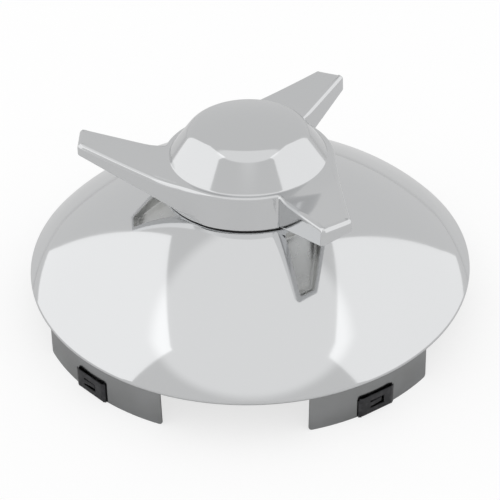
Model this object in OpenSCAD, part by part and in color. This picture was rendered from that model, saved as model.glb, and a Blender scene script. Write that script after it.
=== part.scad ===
// Spinner hubcap: a drawn cap with a five-tab skirt that springs into the bore of
// a truck wheel hub, and a hollow three-bar spinner screwed on its crown.
// Millimetres, +Z up along the cap's axis, z = 0 at the lower edge of the tabs.

/* [Hub bore] */
// Diameter of the hub bore that the skirt springs into
bore_d = 220; // [190:5:260]
// How far the rolled rim laps over the bore's edge, each side
rim_lap = 1; // [1:0.5:6]
// Play between the top of the skirt and the bore, each side
skirt_play = 1.6; // [1.6:0.2:4]
// Play between the flared lower edge of the skirt and the bore, each side
tab_play = 0.2; // [0:0.1:0.8]

/* [Sheet] */
// Thickness of the cap's sheet
sheet = 0.9; // [0.6:0.1:1.1]
// Outer radius of the rolled rim
roll_r = 1.6; // [1.3:0.1:1.7]
// Bend radius where the rim turns down into the skirt
bend_r = 0.9; // [0.4:0.1:0.9]
// Height of the rolled rim's middle above the lower edge of the tabs
skirt_h = 21.2; // [16:0.5:32]

/* [Crown] */
// Slope of the crown at the spinner's seat, in degrees
seat_slope = 18.4; // [12:0.5:22]
// Slope where the flank's large arc passes into the shoulder's smaller arc
mid_slope = 34.1; // [28:0.5:38]
// Slope where the shoulder passes into the rolled rim
edge_slope = 46; // [42:1:60]
// Part of the crown's radial width that the flank's arc takes
flank_share = 0.773; // [0.6:0.01:0.85]

/* [Tabs] */
// Azimuth of the middle of the first tab
first_tab_az = 12.05; // [0:1:71]
// Angle that a plain tab spans
tab_span = 34.4; // [26:0.5:38]
// Angle that the wide tab spans
wide_tab_span = 39.5; // [30:0.5:46]
// How far the middle of the wide tab lies past its place in the pattern
wide_tab_shift = 0.8; // [0:0.2:2]
// Corner radius at the lower corners of the tabs
tab_corner_r = 1.6; // [0.8:0.2:4]
// Corner radius at the upper corners of the notches
notch_r = 2; // [1:0.25:4]
// How far below the rim's underside the notches stop
notch_relief = 0.4; // [0.2:0.1:1.5]

/* [Clips] */
// Width of a tension clip
clip_w = 19; // [14:0.5:24]
// Height of a clip's outer leaf
clip_h = 10.6; // [9:0.2:13]
// Thickness of the clips' spring steel
clip_t = 0.5; // [0.3:0.1:0.7]
// Gap between the outer leaf and the tab
clip_stand = 0.7; // [0.5:0.1:1]
// Height of the inner leaf
clip_inner_h = 8.4; // [6:0.2:11]
// Length of the ends of the outer leaf that are bent back
clip_end = 1.6; // [1:0.1:2.4]
// Width of the lanced window
window_w = 7.6; // [5:0.2:9]
// Height of the lanced window
window_h = 4.4; // [3:0.2:5.5]
// Height of the window's middle above the clip's lower edge
window_lift = 5.5; // [4.5:0.1:6.5]
// Width of the slits above and below the lanced tongue
tongue_slit = 1.1; // [0.6:0.1:1.2]
// Gap between the tongue's free end and the window's side
tongue_lip = 1; // [0.4:0.1:1.6]
// Clearance of a clip in its seat and beside the sheet
clip_gap = 0.15; // [0.1:0.05:0.3]

/* [Spinner hub] */
// Radius of the hub ring at its top edge
hub_r = 40.8; // [40:0.2:44]
// Height of the hub ring's outer wall
hub_h = 16.4; // [14:0.2:18]
// Draft of the hub ring's outer wall, in degrees
hub_draft = 7; // [4:0.5:9]
// Draft of the bars' walls, in degrees
draft = 3.2; // [1:0.2:5]
// Wall thickness of the casting
wall = 3; // [2.2:0.2:3.6]
// Width of the foot ring that sits on the gasket
foot_w = 4.2; // [3.2:0.2:5]
// Radius at which the level ledge round the boss passes into the bars' rising tops
rise_r = 46.8; // [45:0.2:52]
// Upward slope of the bars' tops, in degrees
ledge_slope = 13; // [8:0.5:16]
// Thickness of the gasket
gasket_t = 1; // [0.6:0.1:2]
// How far the gasket's outer edge lies inside the foot's
gasket_inset = 0.8; // [0.2:0.1:1]

/* [Boss] */
// Radius of the boss where it stands on the ledge
boss_r = 38.2; // [36:0.2:39]
// Height of the boss above its base
boss_h = 18.3; // [16:0.1:21]
// Slope of the boss's side, in degrees
boss_side = 52.5; // [50:0.5:58]
// Radius of the boss's rounded shoulder
boss_shoulder_r = 10; // [6:0.5:12]
// Radius of the shallow crown on the boss
boss_crown_r = 96; // [85:1:110]

/* [Bars] */
// Azimuth of the first bar
first_bar_az = 56.8; // [0:1:119]
// Distance of the leading tip corner from the axis, along the bar
tip_lead_x = 82.4; // [70:0.2:92]
// Distance of the trailing tip corner from the axis, along the bar
tip_trail_x = 80.8; // [70:0.2:90]
// Offset of the leading tip corner to the bar's straight side
tip_lead_y = 8.3; // [6:0.1:9]
// Offset of the trailing tip corner to the bar's swept side
tip_trail_y = 7.6; // [6:0.1:9]
// Offset of the straight side where it leaves the hub ring
root_lead_y = 5.8; // [4:0.2:8]
// How far the swept side stands out from the hub ring where it meets it
sweep_lap = 0.4; // [0.2:0.1:0.8]
// Corner radius at the bar's tip, seen from above
tip_r = 2; // [1.5:0.25:4]
// Slope of the bars' undersides, in degrees
underside_slope = 22.8; // [20:0.2:24]
// Direction in which a bar's underside rises, from the bar's middle, in degrees
underside_turn = 24; // [20:1:28]
// Distance from the axis at which the undersides start to rise from the foot
underside_start = 34; // [32:0.5:37]

/* [Fixings] */
// Thread diameter of the screws
screw_d = 6; // [5:1:6]
// Length of the screws under the head
screw_l = 16; // [14:1:18]
// Width of the hex head across its flats
head_af = 10; // [9:0.5:12]
// Height of the hex head
head_h = 4; // [3:0.5:5]
// Radius of the circle that the screws stand on
screw_circle_r = 23; // [18:0.5:26]
// Outer diameter of the casting's posts
post_d = 12; // [10:0.5:13]
// Outer diameter of the flat washers
flat_washer_d = 14; // [12:0.5:18]
// Thickness of the flat washers
flat_washer_t = 1.2; // [0.8:0.1:2]
// Outer diameter of the spring washers
lock_washer_d = 11; // [9.5:0.5:11.5]
// Thickness of the spring washers
lock_washer_t = 1.6; // [1.2:0.1:2]
// Width of the slit in the spring washers
lock_washer_slit = 1.2; // [0.8:0.1:2]
// Clearance of the screws in the sheet and the washers, across the diameter
screw_play = 0.6; // [0.3:0.1:1]
// Free depth past the screw's end in the blind hole
blind_play = 2; // [1:0.5:3]

/* [Hidden] */
$fn = 96;

// A cut runs this far past the faces it opens
over = 1;
// A drawn arc's chords lie at most this far inside it
chord_gap = 0.02;

// Tabs, bars and screws
tabs = 5;
tab_pitch = 360 / tabs;
wide_tab = 3;
bars = 3;
bar_pitch = 360 / bars;
screws = 3;

// Radii of the rim and the skirt
bore_r = bore_d / 2;
rim_r = bore_r + rim_lap;
skirt_top_r = bore_r - skirt_play;
skirt_low_r = bore_r - tab_play;
flare = atan((skirt_low_r - skirt_top_r) / skirt_h);

// Foot of the spinner and the seat under it, which is this much wider each side
foot_r = hub_r + hub_h * tan(hub_draft);
foot_in_r = foot_r - foot_w;
gasket_r = foot_r - gasket_inset;
seat_margin = 2.2;
seat_out_r = foot_r + seat_margin;
seat_in_r = foot_in_r - seat_margin;
seat_bend_r = 3;

// Crown: centres, radii and ends of its tangent arcs, from the rim to the seat
roll_c = [rim_r - roll_r, skirt_h];
edge_r = roll_c[0] + roll_r * sin(edge_slope);
edge_z = roll_c[1] + roll_r * cos(edge_slope);
crown_w = edge_r - seat_out_r;
flank_r = crown_w * flank_share / (sin(mid_slope) - sin(seat_slope));
shoulder_r = crown_w * (1 - flank_share) / (sin(edge_slope) - sin(mid_slope));
mid_r = seat_out_r + crown_w * flank_share;
mid_z = edge_z + shoulder_r * (cos(mid_slope) - cos(edge_slope));
seat_out_z = mid_z + flank_r * (cos(seat_slope) - cos(mid_slope));
seat_in_z = seat_out_z + (seat_out_r - seat_in_r) * tan(seat_slope);
plateau_z = seat_in_z + seat_bend_r * (1 - cos(seat_slope));
shoulder_c = [edge_r - shoulder_r * sin(edge_slope), edge_z - shoulder_r * cos(edge_slope)];
flank_c = [mid_r - flank_r * sin(mid_slope), mid_z - flank_r * cos(mid_slope)];
seat_bend_c = [seat_in_r - seat_bend_r * sin(seat_slope), plateau_z - seat_bend_r];
skirt_bend_c = [skirt_top_r + bend_r, skirt_h - roll_r - bend_r];
notch_z = skirt_h - roll_r - notch_relief;

// Spinner heights, and one that clears the whole part
foot_z = seat_z(foot_r) + gasket_t;
hub_top_z = foot_z + hub_h;
boss_z = ledge_z(boss_r);
boss_top_z = boss_z + boss_h;
tall_z = boss_top_z + over;

// Slope at which the boss's crown arc passes into its shoulder arc: the arcs and
// the straight side together have to span the boss's radius and its height
boss_arc_gap = boss_crown_r - boss_shoulder_r;
boss_closing = (boss_crown_r - boss_shoulder_r * cos(boss_side)
    + tan(boss_side) * (boss_r - boss_shoulder_r * sin(boss_side)) - boss_h) / boss_arc_gap;
boss_turn = boss_side - acos(boss_closing * cos(boss_side));
boss_crown_c = [0, boss_top_z - boss_crown_r];
boss_shoulder_c = boss_crown_c + boss_arc_gap * [sin(boss_turn), cos(boss_turn)];

// Heights between which the bars' plan is drawn. It has the sizes stated above at
// the height of the ledge
star_low_z = foot_z - over;
star_high_z = ledge_z(tip_lead_x) + wall;

// Straight pieces that draw a tip corner and a bar's root inside the hub ring. The
// swept side has sunk into the ring by root_sink when it has run root_turn round it
tip_steps = 6;
root_steps = 9;
root_turn = 24;
root_sink = 1.6;

// Depth of the cuts under the foot's face, smallest corner in a bar's pocket, and
// how far a pocket stays outside the foot
foot_open = 4;
pocket_corner_r = 0.8;
pocket_margin = 1;

// Fixings: underside of the spring washers, reach of the screws above the plateau
screw_head_z = plateau_z - sheet - flat_washer_t - lock_washer_t;
screw_reach = screw_l - sheet - flat_washer_t - lock_washer_t;
hole_d = screw_d + screw_play;

// Clips
clip_w_flat = clip_w - 2 * clip_end;
clip_seat_h = clip_gap + clip_t;
clip_inner_y = sheet + clip_sag(clip_w_flat / 2) + clip_gap;
window_low_z = window_lift - window_h / 2;
tongue_h = window_h - 2 * tongue_slit;

// Height of the crown's seat cone at radius r, and of the casting's upper face, which
// is level round the boss and rises outside it
function seat_z(r) = seat_out_z + (seat_out_r - r) * tan(seat_slope);
function ledge_z(r) = hub_top_z + max(0, r - rise_r) * tan(ledge_slope);

// Points on an arc: a is measured from straight up, clockwise in the section
function arc(c, r, a0, a1) =
    let (n = ceil(abs(a1 - a0) / (2 * acos(1 - chord_gap / r))))
    [for (i = [0:n]) let (a = a0 + (a1 - a0) * i / n) c + r * [sin(a), cos(a)]];

// Reversed list
function reversed(v) = [for (i = [len(v) - 1:-1:0]) v[i]];

// How far a tab's outer face falls behind its tangent, x away from its middle
function clip_sag(x) = skirt_low_r - sqrt(skirt_low_r * skirt_low_r - x * x);

// Azimuth of the middle of tab i, and half of its span
function tab_az(i) = first_tab_az + i * tab_pitch + (i == wide_tab ? wide_tab_shift : 0);
function tab_half(i) = (i == wide_tab ? wide_tab_span : tab_span) / 2;

// One face of the sheet's section, from the axis to the tab's lower edge. depth is
// how far the face lies inside the outer face: 0, or the sheet's thickness
function sheet_face(depth) = concat(
    [[0, plateau_z - depth]],
    arc(seat_bend_c, seat_bend_r - depth, 0, seat_slope),
    arc(flank_c, flank_r - depth, seat_slope, mid_slope),
    arc(shoulder_c, shoulder_r - depth, mid_slope, edge_slope),
    arc(roll_c, roll_r - depth, edge_slope, 180),
    arc(skirt_bend_c, bend_r + depth, 0, -90 - flare),
    [[skirt_low_r - depth / cos(flare), 0]]
);

// Unit vector, the normal on its right, and where the line through p along u meets
// the line through q along v
function unit(v) = v / norm(v);
function outward(v) = [v[1], -v[0]];
function crossing(p, u, q, v) =
    p + u * ((q[0] - p[0]) * v[1] - (q[1] - p[1]) * v[0]) / (u[0] * v[1] - u[1] * v[0]);

// Arc of radius r that rounds the corner at v, where direction u turns left to w
function rounded(v, u, w, r) =
    let (turn = acos(u * w), c = v - u * r * tan(turn / 2) - outward(u) * r, start = outward(u))
    [for (i = [0:tip_steps]) let (a = turn * i / tip_steps)
        c + r * [start[0] * cos(a) - start[1] * sin(a), start[0] * sin(a) + start[1] * cos(a)]];

// Corners of a bar's plan: straight side, tip and swept side. The straight side
// starts inside the hub ring, and the swept side runs onto it as a tangent
lead_tip = [tip_lead_x, -tip_lead_y];
trail_tip = [tip_trail_x, tip_trail_y];
lead_dir = unit(lead_tip - [hub_r, -root_lead_y]);
lead_root = lead_tip - lead_dir * (tip_lead_x - hub_r + root_sink);
end_dir = unit(trail_tip - lead_tip);
sweep_r = hub_r + sweep_lap;
sweep_angle = atan2(tip_trail_y, tip_trail_x) + acos(sweep_r / norm(trail_tip));
sweep_dir = [-sin(sweep_angle), cos(sweep_angle)];

// Plan of a bar, its outer faces moved out by grow: the straight side, the two
// rounded tip corners and the swept side up to where it touches the hub ring
function bar_outline(grow) =
    let (
        r = max(pocket_corner_r, tip_r + grow),
        lead = lead_root + outward(lead_dir) * grow, tip = lead_tip + outward(end_dir) * grow,
        lead_corner = crossing(lead, lead_dir, tip, end_dir),
        trail_corner = crossing(tip, end_dir, trail_tip + outward(sweep_dir) * grow, sweep_dir)
    )
    concat(
        [lead],
        rounded(lead_corner, lead_dir, end_dir, r),
        rounded(trail_corner, end_dir, sweep_dir, r),
        [(sweep_r + grow) * [cos(sweep_angle), sin(sweep_angle)]]
    );

// Root between one bar's swept side and the next bar's straight side, which sinks
// into the hub ring
function root_outline(grow) =
    let (lead = lead_root + outward(lead_dir) * grow, end = bar_pitch + atan2(lead[1], lead[0]))
    [for (i = [1:root_steps - 1])
        let (a = sweep_angle + (end - sweep_angle) * i / root_steps,
            sunk = root_sink * min(1, (a - sweep_angle) / root_turn))
        (sweep_r + grow - sunk) * [cos(a), sin(a)]];

// Plan of the three bars and their roots, their outer faces moved out by grow
function star_outline(grow) = [
    for (k = [0:bars - 1], p = concat(bar_outline(grow), root_outline(grow)))
        let (a = first_bar_az + k * bar_pitch)
        [p[0] * cos(a) - p[1] * sin(a), p[0] * sin(a) + p[1] * cos(a)]
];

// Solid between the bars' plan at two heights, its sides drafted
module star_prism(z0, z1) {
    low = star_outline((hub_top_z - z0) * tan(draft));
    high = star_outline((hub_top_z - z1) * tan(draft));
    n = len(low);
    polyhedron(
        points = concat([for (p = low) [p[0], p[1], z0]], [for (p = high) [p[0], p[1], z1]]),
        faces = concat(
            [[for (i = [0:n - 1]) i]],
            [[for (i = [n - 1:-1:0]) n + i]],
            [for (i = [0:n - 1]) let (j = (i + 1) % n) [i, n + i, n + j, j]]
        )
    );
}

// Hub ring, solid: a cone with the ring's draft, from below the foot to the ledge
module hub_ring() {
    ring_h = hub_top_z - star_low_z;
    translate([0, 0, star_low_z])
        cylinder(h = ring_h, r1 = hub_r + ring_h * tan(hub_draft), r2 = hub_r);
}

// Round space below the casting's upper face, and drop below it
module below_ledge(drop) {
    far = tip_lead_x + hub_h;
    rotate_extrude()
        polygon([
            [0, plateau_z - over], [far, plateau_z - over],
            [far, ledge_z(far) - drop], [rise_r, hub_top_z - drop], [0, hub_top_z - drop]
        ]);
}

// Space under the bars: each bar's underside is one plane, which rises from the foot
// towards the bar's tip and its swept side
module below_undersides() {
    for (i = [0:bars - 1])
        rotate(first_bar_az + i * bar_pitch + underside_turn)
            translate([underside_start, 0, foot_z])
            rotate([0, -underside_slope, 0])
            translate([0, -tip_lead_x, -2 * hub_h])
            cube([2 * tip_lead_x, 2 * tip_lead_x, 2 * hub_h]);
}

// Pocket under one bar, its roof and its sides a wall's thickness inside the casting
module pocket() {
    difference() {
        intersection() {
            linear_extrude(tall_z) polygon(bar_outline(-wall));
            below_ledge(wall);
        }
        cylinder(r = foot_r + pocket_margin, h = tall_z);
    }
}

// Round boss on the ledge, solid
module boss() {
    rotate_extrude()
        polygon(concat(
            [[0, boss_z - wall], [boss_r + wall / tan(boss_side), boss_z - wall]],
            reversed(boss_face(0))
        ));
}

// The boss's face from the top of its crown down to the end of its shoulder, and
// depth inside it
function boss_face(depth) = concat(
    arc(boss_crown_c, boss_crown_r - depth, 0, boss_turn),
    arc(boss_shoulder_c, boss_shoulder_r - depth, boss_turn, boss_side)
);

// Hollow inside the boss and the foot ring, open below, where the foot's face
// follows the seat
module hollow() {
    rotate_extrude()
        polygon(concat(
            [[0, seat_z(0) + gasket_t - foot_open], [foot_in_r, seat_z(foot_in_r) - foot_open]],
            [[foot_in_r, boss_z - wall], [boss_r - wall / sin(boss_side), boss_z - wall]],
            reversed(boss_face(wall))
        ));
}

// Everything below the foot's face, which is parallel to the crown's seat
module below_foot() {
    far = foot_r + over;
    rotate_extrude()
        polygon([
            [0, plateau_z - foot_open], [0, seat_z(0) + gasket_t],
            [far, seat_z(far) + gasket_t], [far, plateau_z - foot_open]
        ]);
}

// Posts under the boss that take the screws, from the plateau up to the boss's wall
module posts() {
    intersection() {
        for (i = [0:screws - 1])
            at_screw(i) translate([0, 0, plateau_z]) cylinder(d = post_d, h = tall_z);
        rotate_extrude()
            polygon(concat(
                [[0, plateau_z - over], [boss_r, plateau_z - over], [boss_r, boss_z]],
                reversed(boss_face(wall / 2))
            ));
    }
}

// One drawn sheet: crown, rolled rim and flared skirt, with the notches, the clip
// seats and the screw holes cut from it
module cap_shell() {
    color("gainsboro")
        difference() {
            rotate_extrude() polygon(concat(sheet_face(0), reversed(sheet_face(sheet))));
            for (i = [0:tabs - 1]) {
                notch(tab_az(i) + tab_half(i), tab_az(i + 1) - tab_half(i + 1));
                rotate(first_tab_az + i * tab_pitch) clip_seat();
            }
            for (i = [0:screws - 1])
                rotate(first_bar_az + i * bar_pitch)
                    translate([screw_circle_r, 0, plateau_z - sheet - over])
                    cylinder(d = hole_d, h = sheet + 2 * over);
        }
}

// Takes the skirt away between two tabs, from azimuth a to azimuth b: one cut along
// the notch's middle, whose outline also rounds the tabs' corners
module notch(a, b) {
    half = skirt_low_r * sin((b - a) / 2);
    right = concat(
        arc([half - notch_r, notch_z - notch_r], notch_r, 0, 90),
        arc([half + tab_corner_r, tab_corner_r], tab_corner_r, -90, -180),
        [[half + tab_corner_r, -over]]
    );
    rotate((a + b) / 2)
        translate([skirt_top_r / 2, 0, 0])
        rotate([90, 0, 90])
        linear_extrude(skirt_top_r)
        polygon(concat(right, [for (p = reversed(right)) [-p[0], p[1]]]));
}

// Shallow seat in a tab's lower edge that keeps a clip from sliding
module clip_seat() {
    half_y = clip_w_flat / 2 + clip_gap;
    deep = clip_inner_y + clip_t;
    translate([skirt_low_r - deep, -half_y, -over])
        cube([deep + over, 2 * half_y, over + clip_seat_h]);
}

// Tension clip at azimuth a, drawn with x along the tab's edge, y outwards from its
// outer face and z up from the clip's lower edge
module clip(a) {
    color("dimgray")
        rotate(a)
        translate([skirt_low_r, 0, clip_gap])
        rotate([0, -flare, 0])
        rotate([0, 0, 90])
        mirror([0, 1, 0]) {
            difference() {
                union() {
                    clip_leaf();
                    clip_fold();
                }
                translate([-window_w / 2, 0, window_low_z])
                    cube([window_w, clip_stand + clip_t + over, window_h]);
            }
            clip_tongue();
        }
}

// Outer leaf: flat, with both ends bent back towards the tab
module clip_leaf() {
    e = clip_w / 2;
    f = clip_w_flat / 2;
    back = clip_gap - clip_sag(e);
    linear_extrude(clip_h)
        polygon([
            [-f, clip_stand + clip_t], [f, clip_stand + clip_t],
            [e, back + clip_t], [e, back],
            [f, clip_stand], [-f, clip_stand],
            [-e, back], [-e, back + clip_t]
        ]);
}

// Fold under the tab's edge and the inner leaf behind it, its bends as round as the
// spring steel is thick
module clip_fold() {
    back = -clip_inner_y - clip_t;
    front = clip_stand + clip_t;
    rotate([90, 0, 90])
        translate([0, 0, -clip_w_flat / 2])
        linear_extrude(clip_w_flat)
        difference() {
            union() {
                translate([back, clip_t]) square([front - back, clip_inner_h - clip_t]);
                translate([back + clip_t, 0]) square([front - back - 2 * clip_t, 2 * clip_t]);
                translate([back + clip_t, clip_t]) circle(clip_t);
                translate([front - clip_t, clip_t]) circle(clip_t);
            }
            translate([-clip_inner_y, clip_t]) square([clip_stand + clip_inner_y, clip_h]);
        }
}

// Tongue lanced from the window, which runs along the clip and is bent in against the tab
module clip_tongue() {
    lean = clip_stand - clip_gap;
    root = -window_w / 2;
    tip = window_w / 2 - tongue_lip;
    translate([0, 0, window_low_z + tongue_slit])
        linear_extrude(tongue_h)
        polygon([
            [root - clip_t, clip_stand], [root, clip_stand], [tip, clip_stand - lean],
            [tip, clip_stand - lean + clip_t], [root, clip_stand + clip_t],
            [root - clip_t, clip_stand + clip_t]
        ]);
}

// One hollow casting: boss, hub ring, three bars and three tapped posts
module spinner() {
    color("silver")
        difference() {
            union() {
                difference() {
                    union() {
                        difference() {
                            intersection() {
                                star_prism(star_low_z, star_high_z);
                                below_ledge(0);
                            }
                            below_undersides();
                            for (i = [0:bars - 1])
                                rotate(first_bar_az + i * bar_pitch) pocket();
                        }
                        hub_ring();
                        boss();
                    }
                    below_foot();
                    hollow();
                }
                posts();
            }
            for (i = [0:screws - 1])
                at_screw(i)
                    translate([0, 0, plateau_z - over])
                    cylinder(d = screw_d, h = over + screw_reach + blind_play);
        }
}

// Rubber ring between the casting's foot and the crown's seat
module spinner_gasket() {
    color("black")
        rotate_extrude()
        polygon([
            [foot_in_r, seat_z(foot_in_r)], [gasket_r, seat_z(gasket_r)],
            [gasket_r, seat_z(gasket_r) + gasket_t], [foot_in_r, seat_z(foot_in_r) + gasket_t]
        ]);
}

// Moves a fixing to its place on the screw circle
module at_screw(i) {
    rotate(first_bar_az + i * bar_pitch) translate([screw_circle_r, 0, 0]) children();
}

// Hex screw, its head below and its shank up into the post
module screw(i) {
    color("darkgray")
        at_screw(i)
        translate([0, 0, screw_head_z]) {
            cylinder(d = screw_d, h = screw_l);
            translate([0, 0, -head_h]) cylinder(d = head_af / cos(30), h = head_h, $fn = 6);
        }
}

// Split spring washer between the head and the flat washer
module lock_washer(i) {
    color("gray")
        at_screw(i)
        translate([0, 0, screw_head_z])
        difference() {
            cylinder(d = lock_washer_d, h = lock_washer_t);
            translate([0, 0, -over]) cylinder(d = hole_d, h = lock_washer_t + 2 * over);
            translate([0, -lock_washer_slit / 2, -over])
                cube([lock_washer_d, lock_washer_slit, lock_washer_t + 2 * over]);
        }
}

// Flat washer against the inside of the sheet
module flat_washer(i) {
    color("lightgray")
        at_screw(i)
        translate([0, 0, plateau_z - sheet - flat_washer_t])
        difference() {
            cylinder(d = flat_washer_d, h = flat_washer_t);
            translate([0, 0, -over]) cylinder(d = hole_d, h = flat_washer_t + 2 * over);
        }
}

cap_shell();
spinner();
spinner_gasket();
for (i = [0:tabs - 1])
    clip(first_tab_az + i * tab_pitch);
for (i = [0:screws - 1]) {
    screw(i);
    lock_washer(i);
    flat_washer(i);
}
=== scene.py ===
"""Looks of a spinner hubcap: a chromed sheet cap with a five-tab spring skirt and its
black tension clips, and a hollow chromed casting with three swept bars on its crown.

Every piece is a surface worked out in millimetres on a grid of two parameters and
written to its mesh in metres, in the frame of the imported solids: +Z is the axis of the
cap, z = 0 the lower edge of its tabs, and the photo looks from -Y.
"""

from __future__ import annotations

import logging
import math
from dataclasses import dataclass, field
from enum import Enum

import bmesh
import bpy
import numpy as np
from mathutils import Matrix, Vector

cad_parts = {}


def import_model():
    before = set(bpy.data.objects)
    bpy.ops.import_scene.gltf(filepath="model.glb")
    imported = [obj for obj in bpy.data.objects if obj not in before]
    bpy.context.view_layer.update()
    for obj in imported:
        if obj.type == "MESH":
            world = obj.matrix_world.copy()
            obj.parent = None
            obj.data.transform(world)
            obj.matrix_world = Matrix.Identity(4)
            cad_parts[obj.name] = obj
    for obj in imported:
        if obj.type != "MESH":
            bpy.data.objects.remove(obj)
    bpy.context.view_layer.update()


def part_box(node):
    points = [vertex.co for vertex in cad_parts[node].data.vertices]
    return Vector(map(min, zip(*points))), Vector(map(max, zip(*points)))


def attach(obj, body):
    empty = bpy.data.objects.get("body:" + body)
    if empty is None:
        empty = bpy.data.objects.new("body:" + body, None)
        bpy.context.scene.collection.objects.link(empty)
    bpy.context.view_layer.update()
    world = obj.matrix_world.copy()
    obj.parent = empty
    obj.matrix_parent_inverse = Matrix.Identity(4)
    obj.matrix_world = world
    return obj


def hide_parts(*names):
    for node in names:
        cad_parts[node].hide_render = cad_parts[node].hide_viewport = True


log = logging.getLogger("hubcap")

# WELD_MM is no round number, so that no piece's points lie half-way between two of its
# steps. TOUCH_MM tells lengths that only rounding parts, SAME_WAY is the cosine above
# which two normals count as one.
MM = 0.001
WELD_MM = 1.37e-4
SHARP_EDGE = math.radians(38)
FULL_TURN = 2.0 * math.pi
TABS = 5
BARS = 3
FIRST_BAR_AZ = 56.8
BAR_TURNS = np.radians(FIRST_BAR_AZ + 360.0 / BARS * np.arange(BARS))
TOUCH_MM = 1e-6
SAME_WAY = 0.99
WHITE = (1.0, 1.0, 1.0, 1.0)


class Side(Enum):
    """Which finish a stretch of a piece has, as its material index. The cap has a skirt
    and the casting a hollow, and each takes the second place."""

    BRIGHT = 0
    SKIRT = 1
    HOLLOW = 1
    INSIDE = 2


# Plane curves and sections


def unit(v: np.ndarray) -> np.ndarray:
    """Vectors of length one along v, on its last axis."""
    return v / np.linalg.norm(v, axis=-1, keepdims=True)


def right_of(v: np.ndarray) -> np.ndarray:
    """Plane vectors turned a quarter turn to the right."""
    return np.stack([v[..., 1], -v[..., 0]], axis=-1)


def heading(degrees: np.ndarray | float) -> np.ndarray:
    """Unit vectors (sin a, cos a) at angles from straight up, clockwise."""
    a = np.radians(degrees)
    return np.stack([np.sin(a), np.cos(a)], axis=-1)


def circle(azimuth: np.ndarray | float, r: np.ndarray | float = 1.0) -> np.ndarray:
    """Plan points (r cos a, r sin a)."""
    return np.stack([r * np.cos(azimuth), r * np.sin(azimuth)], axis=-1)


def at_height(plan: np.ndarray, z: np.ndarray | float) -> np.ndarray:
    """Plan points with their heights added as a third coordinate."""
    height = np.broadcast_to(np.asarray(z)[..., None], plan.shape[:-1] + (1,))
    return np.concatenate([plan, height], axis=-1)


def rotation(turn: float) -> np.ndarray:
    """Matrix that turns points about the part's axis."""
    c, s = math.cos(turn), math.sin(turn)
    return np.array([[c, -s, 0.0], [s, c, 0.0], [0.0, 0.0, 1.0]])


def tan_of(degrees: float) -> float:
    """Tangent of an angle in degrees."""
    return math.tan(math.radians(degrees))


def crossing(p: np.ndarray, u: np.ndarray, q: np.ndarray, v: np.ndarray) -> np.ndarray:
    """Point where the line through p along u meets the line through q along v."""
    gap = q - p
    return p + u * (gap[0] * v[1] - gap[1] * v[0]) / (u[0] * v[1] - u[1] * v[0])


def smooth(x: np.ndarray, low: float, high: float) -> np.ndarray:
    """Rises smoothly from 0 at low to 1 at high, as 3t^2 - 2t^3."""
    t = np.clip((np.asarray(x, float) - low) / (high - low), 0.0, 1.0)
    return t * t * (3.0 - 2.0 * t)


def shares(steps: int) -> np.ndarray:
    """Even shares from 0 to 1, both included."""
    return np.linspace(0.0, 1.0, steps + 1)


def quarter(steps: int) -> np.ndarray:
    """Even angles of a quarter turn, in radians."""
    return np.radians(np.linspace(0.0, 90.0, steps + 1))


def all_round(steps: int) -> np.ndarray:
    """Even azimuths of a whole turn, its end left out."""
    return np.linspace(0.0, FULL_TURN, steps + 1)[:-1]


def supported(count: int, support: float) -> np.ndarray:
    """Shares from 0 to 1 with one short step at each end, which keeps the shading of a
    flat stretch from being pulled by the fillets beside it."""
    return np.concatenate([[0.0], np.linspace(support, 1.0 - support, count - 1), [1.0]])


def line(a: np.ndarray, b: np.ndarray, steps: int) -> np.ndarray:
    """Points on a straight line from a to b, ends included."""
    t = shares(steps)[:, None]
    return np.asarray(a) * (1.0 - t) + np.asarray(b) * t


def arc(centre: np.ndarray, radius: float, start: float, end: float, steps: int) -> np.ndarray:
    """Points on an arc in a section: centre + radius * (sin a, cos a).

    Args:
        centre: Radius and height of the arc's centre.
        radius: Radius of the arc.
        start: First angle from straight up, clockwise, in degrees.
        end: Last angle.
        steps: Number of chords.

    Returns:
        steps + 1 rows of radius and height.
    """
    return np.asarray(centre) + radius * heading(np.linspace(start, end, steps + 1))


def fillet(
    corner: np.ndarray, to_start: np.ndarray, to_end: np.ndarray, radius: np.ndarray, steps: int
) -> np.ndarray:
    """Arc that rounds a corner between two straight faces, for many corners at once.

    The arc's centre lies on the bisector, radius / sin(half the corner's angle) away,
    and its points turn evenly from one tangent point to the other.

    Args:
        corner: Corner points, columns x 2.
        to_start: Unit vectors from the corner along the face where the arc starts.
        to_end: Unit vectors along the face where it ends.
        radius: Radius in each column; 0 leaves the corner sharp.
        steps: Number of chords.

    Returns:
        (steps + 1) x columns x 2 points.
    """
    half = np.arccos(np.clip((to_start * to_end).sum(-1), -1.0, 1.0)) / 2.0
    centre = corner + unit(to_start + to_end) * (radius / np.sin(half))[:, None]
    reach = (radius / np.tan(half))[:, None]
    start, end = (corner + v * reach - centre for v in (to_start, to_end))
    turn = (math.pi - 2.0 * half)[None, :, None]
    t = shares(steps)[:, None, None]
    return centre + (np.sin((1.0 - t) * turn) * start + np.sin(t * turn) * end) / np.sin(turn)


def turned(start: np.ndarray, end: np.ndarray, steps: int) -> np.ndarray:
    """Unit vectors that turn evenly from start to end, both included.

    Args:
        start: First unit vector.
        end: Last unit vector.
        steps: Number of steps between them.

    Returns:
        steps + 1 vectors.
    """
    turn = math.acos(float(start @ end))
    t = shares(steps)[:, None] * turn
    return (np.sin(turn - t) * start + np.sin(t) * end) / math.sin(turn)


def revolve(section: np.ndarray, azimuths: np.ndarray) -> np.ndarray:
    """Surface of revolution: (r cos a, r sin a, z) for each section point and azimuth.

    Args:
        section: Rows of radius and height.
        azimuths: Azimuths of the columns, in radians.

    Returns:
        rows x columns x 3 points.
    """
    return at_height(circle(azimuths, section[:, :1]), section[:, 1:])


# Meshes


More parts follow.
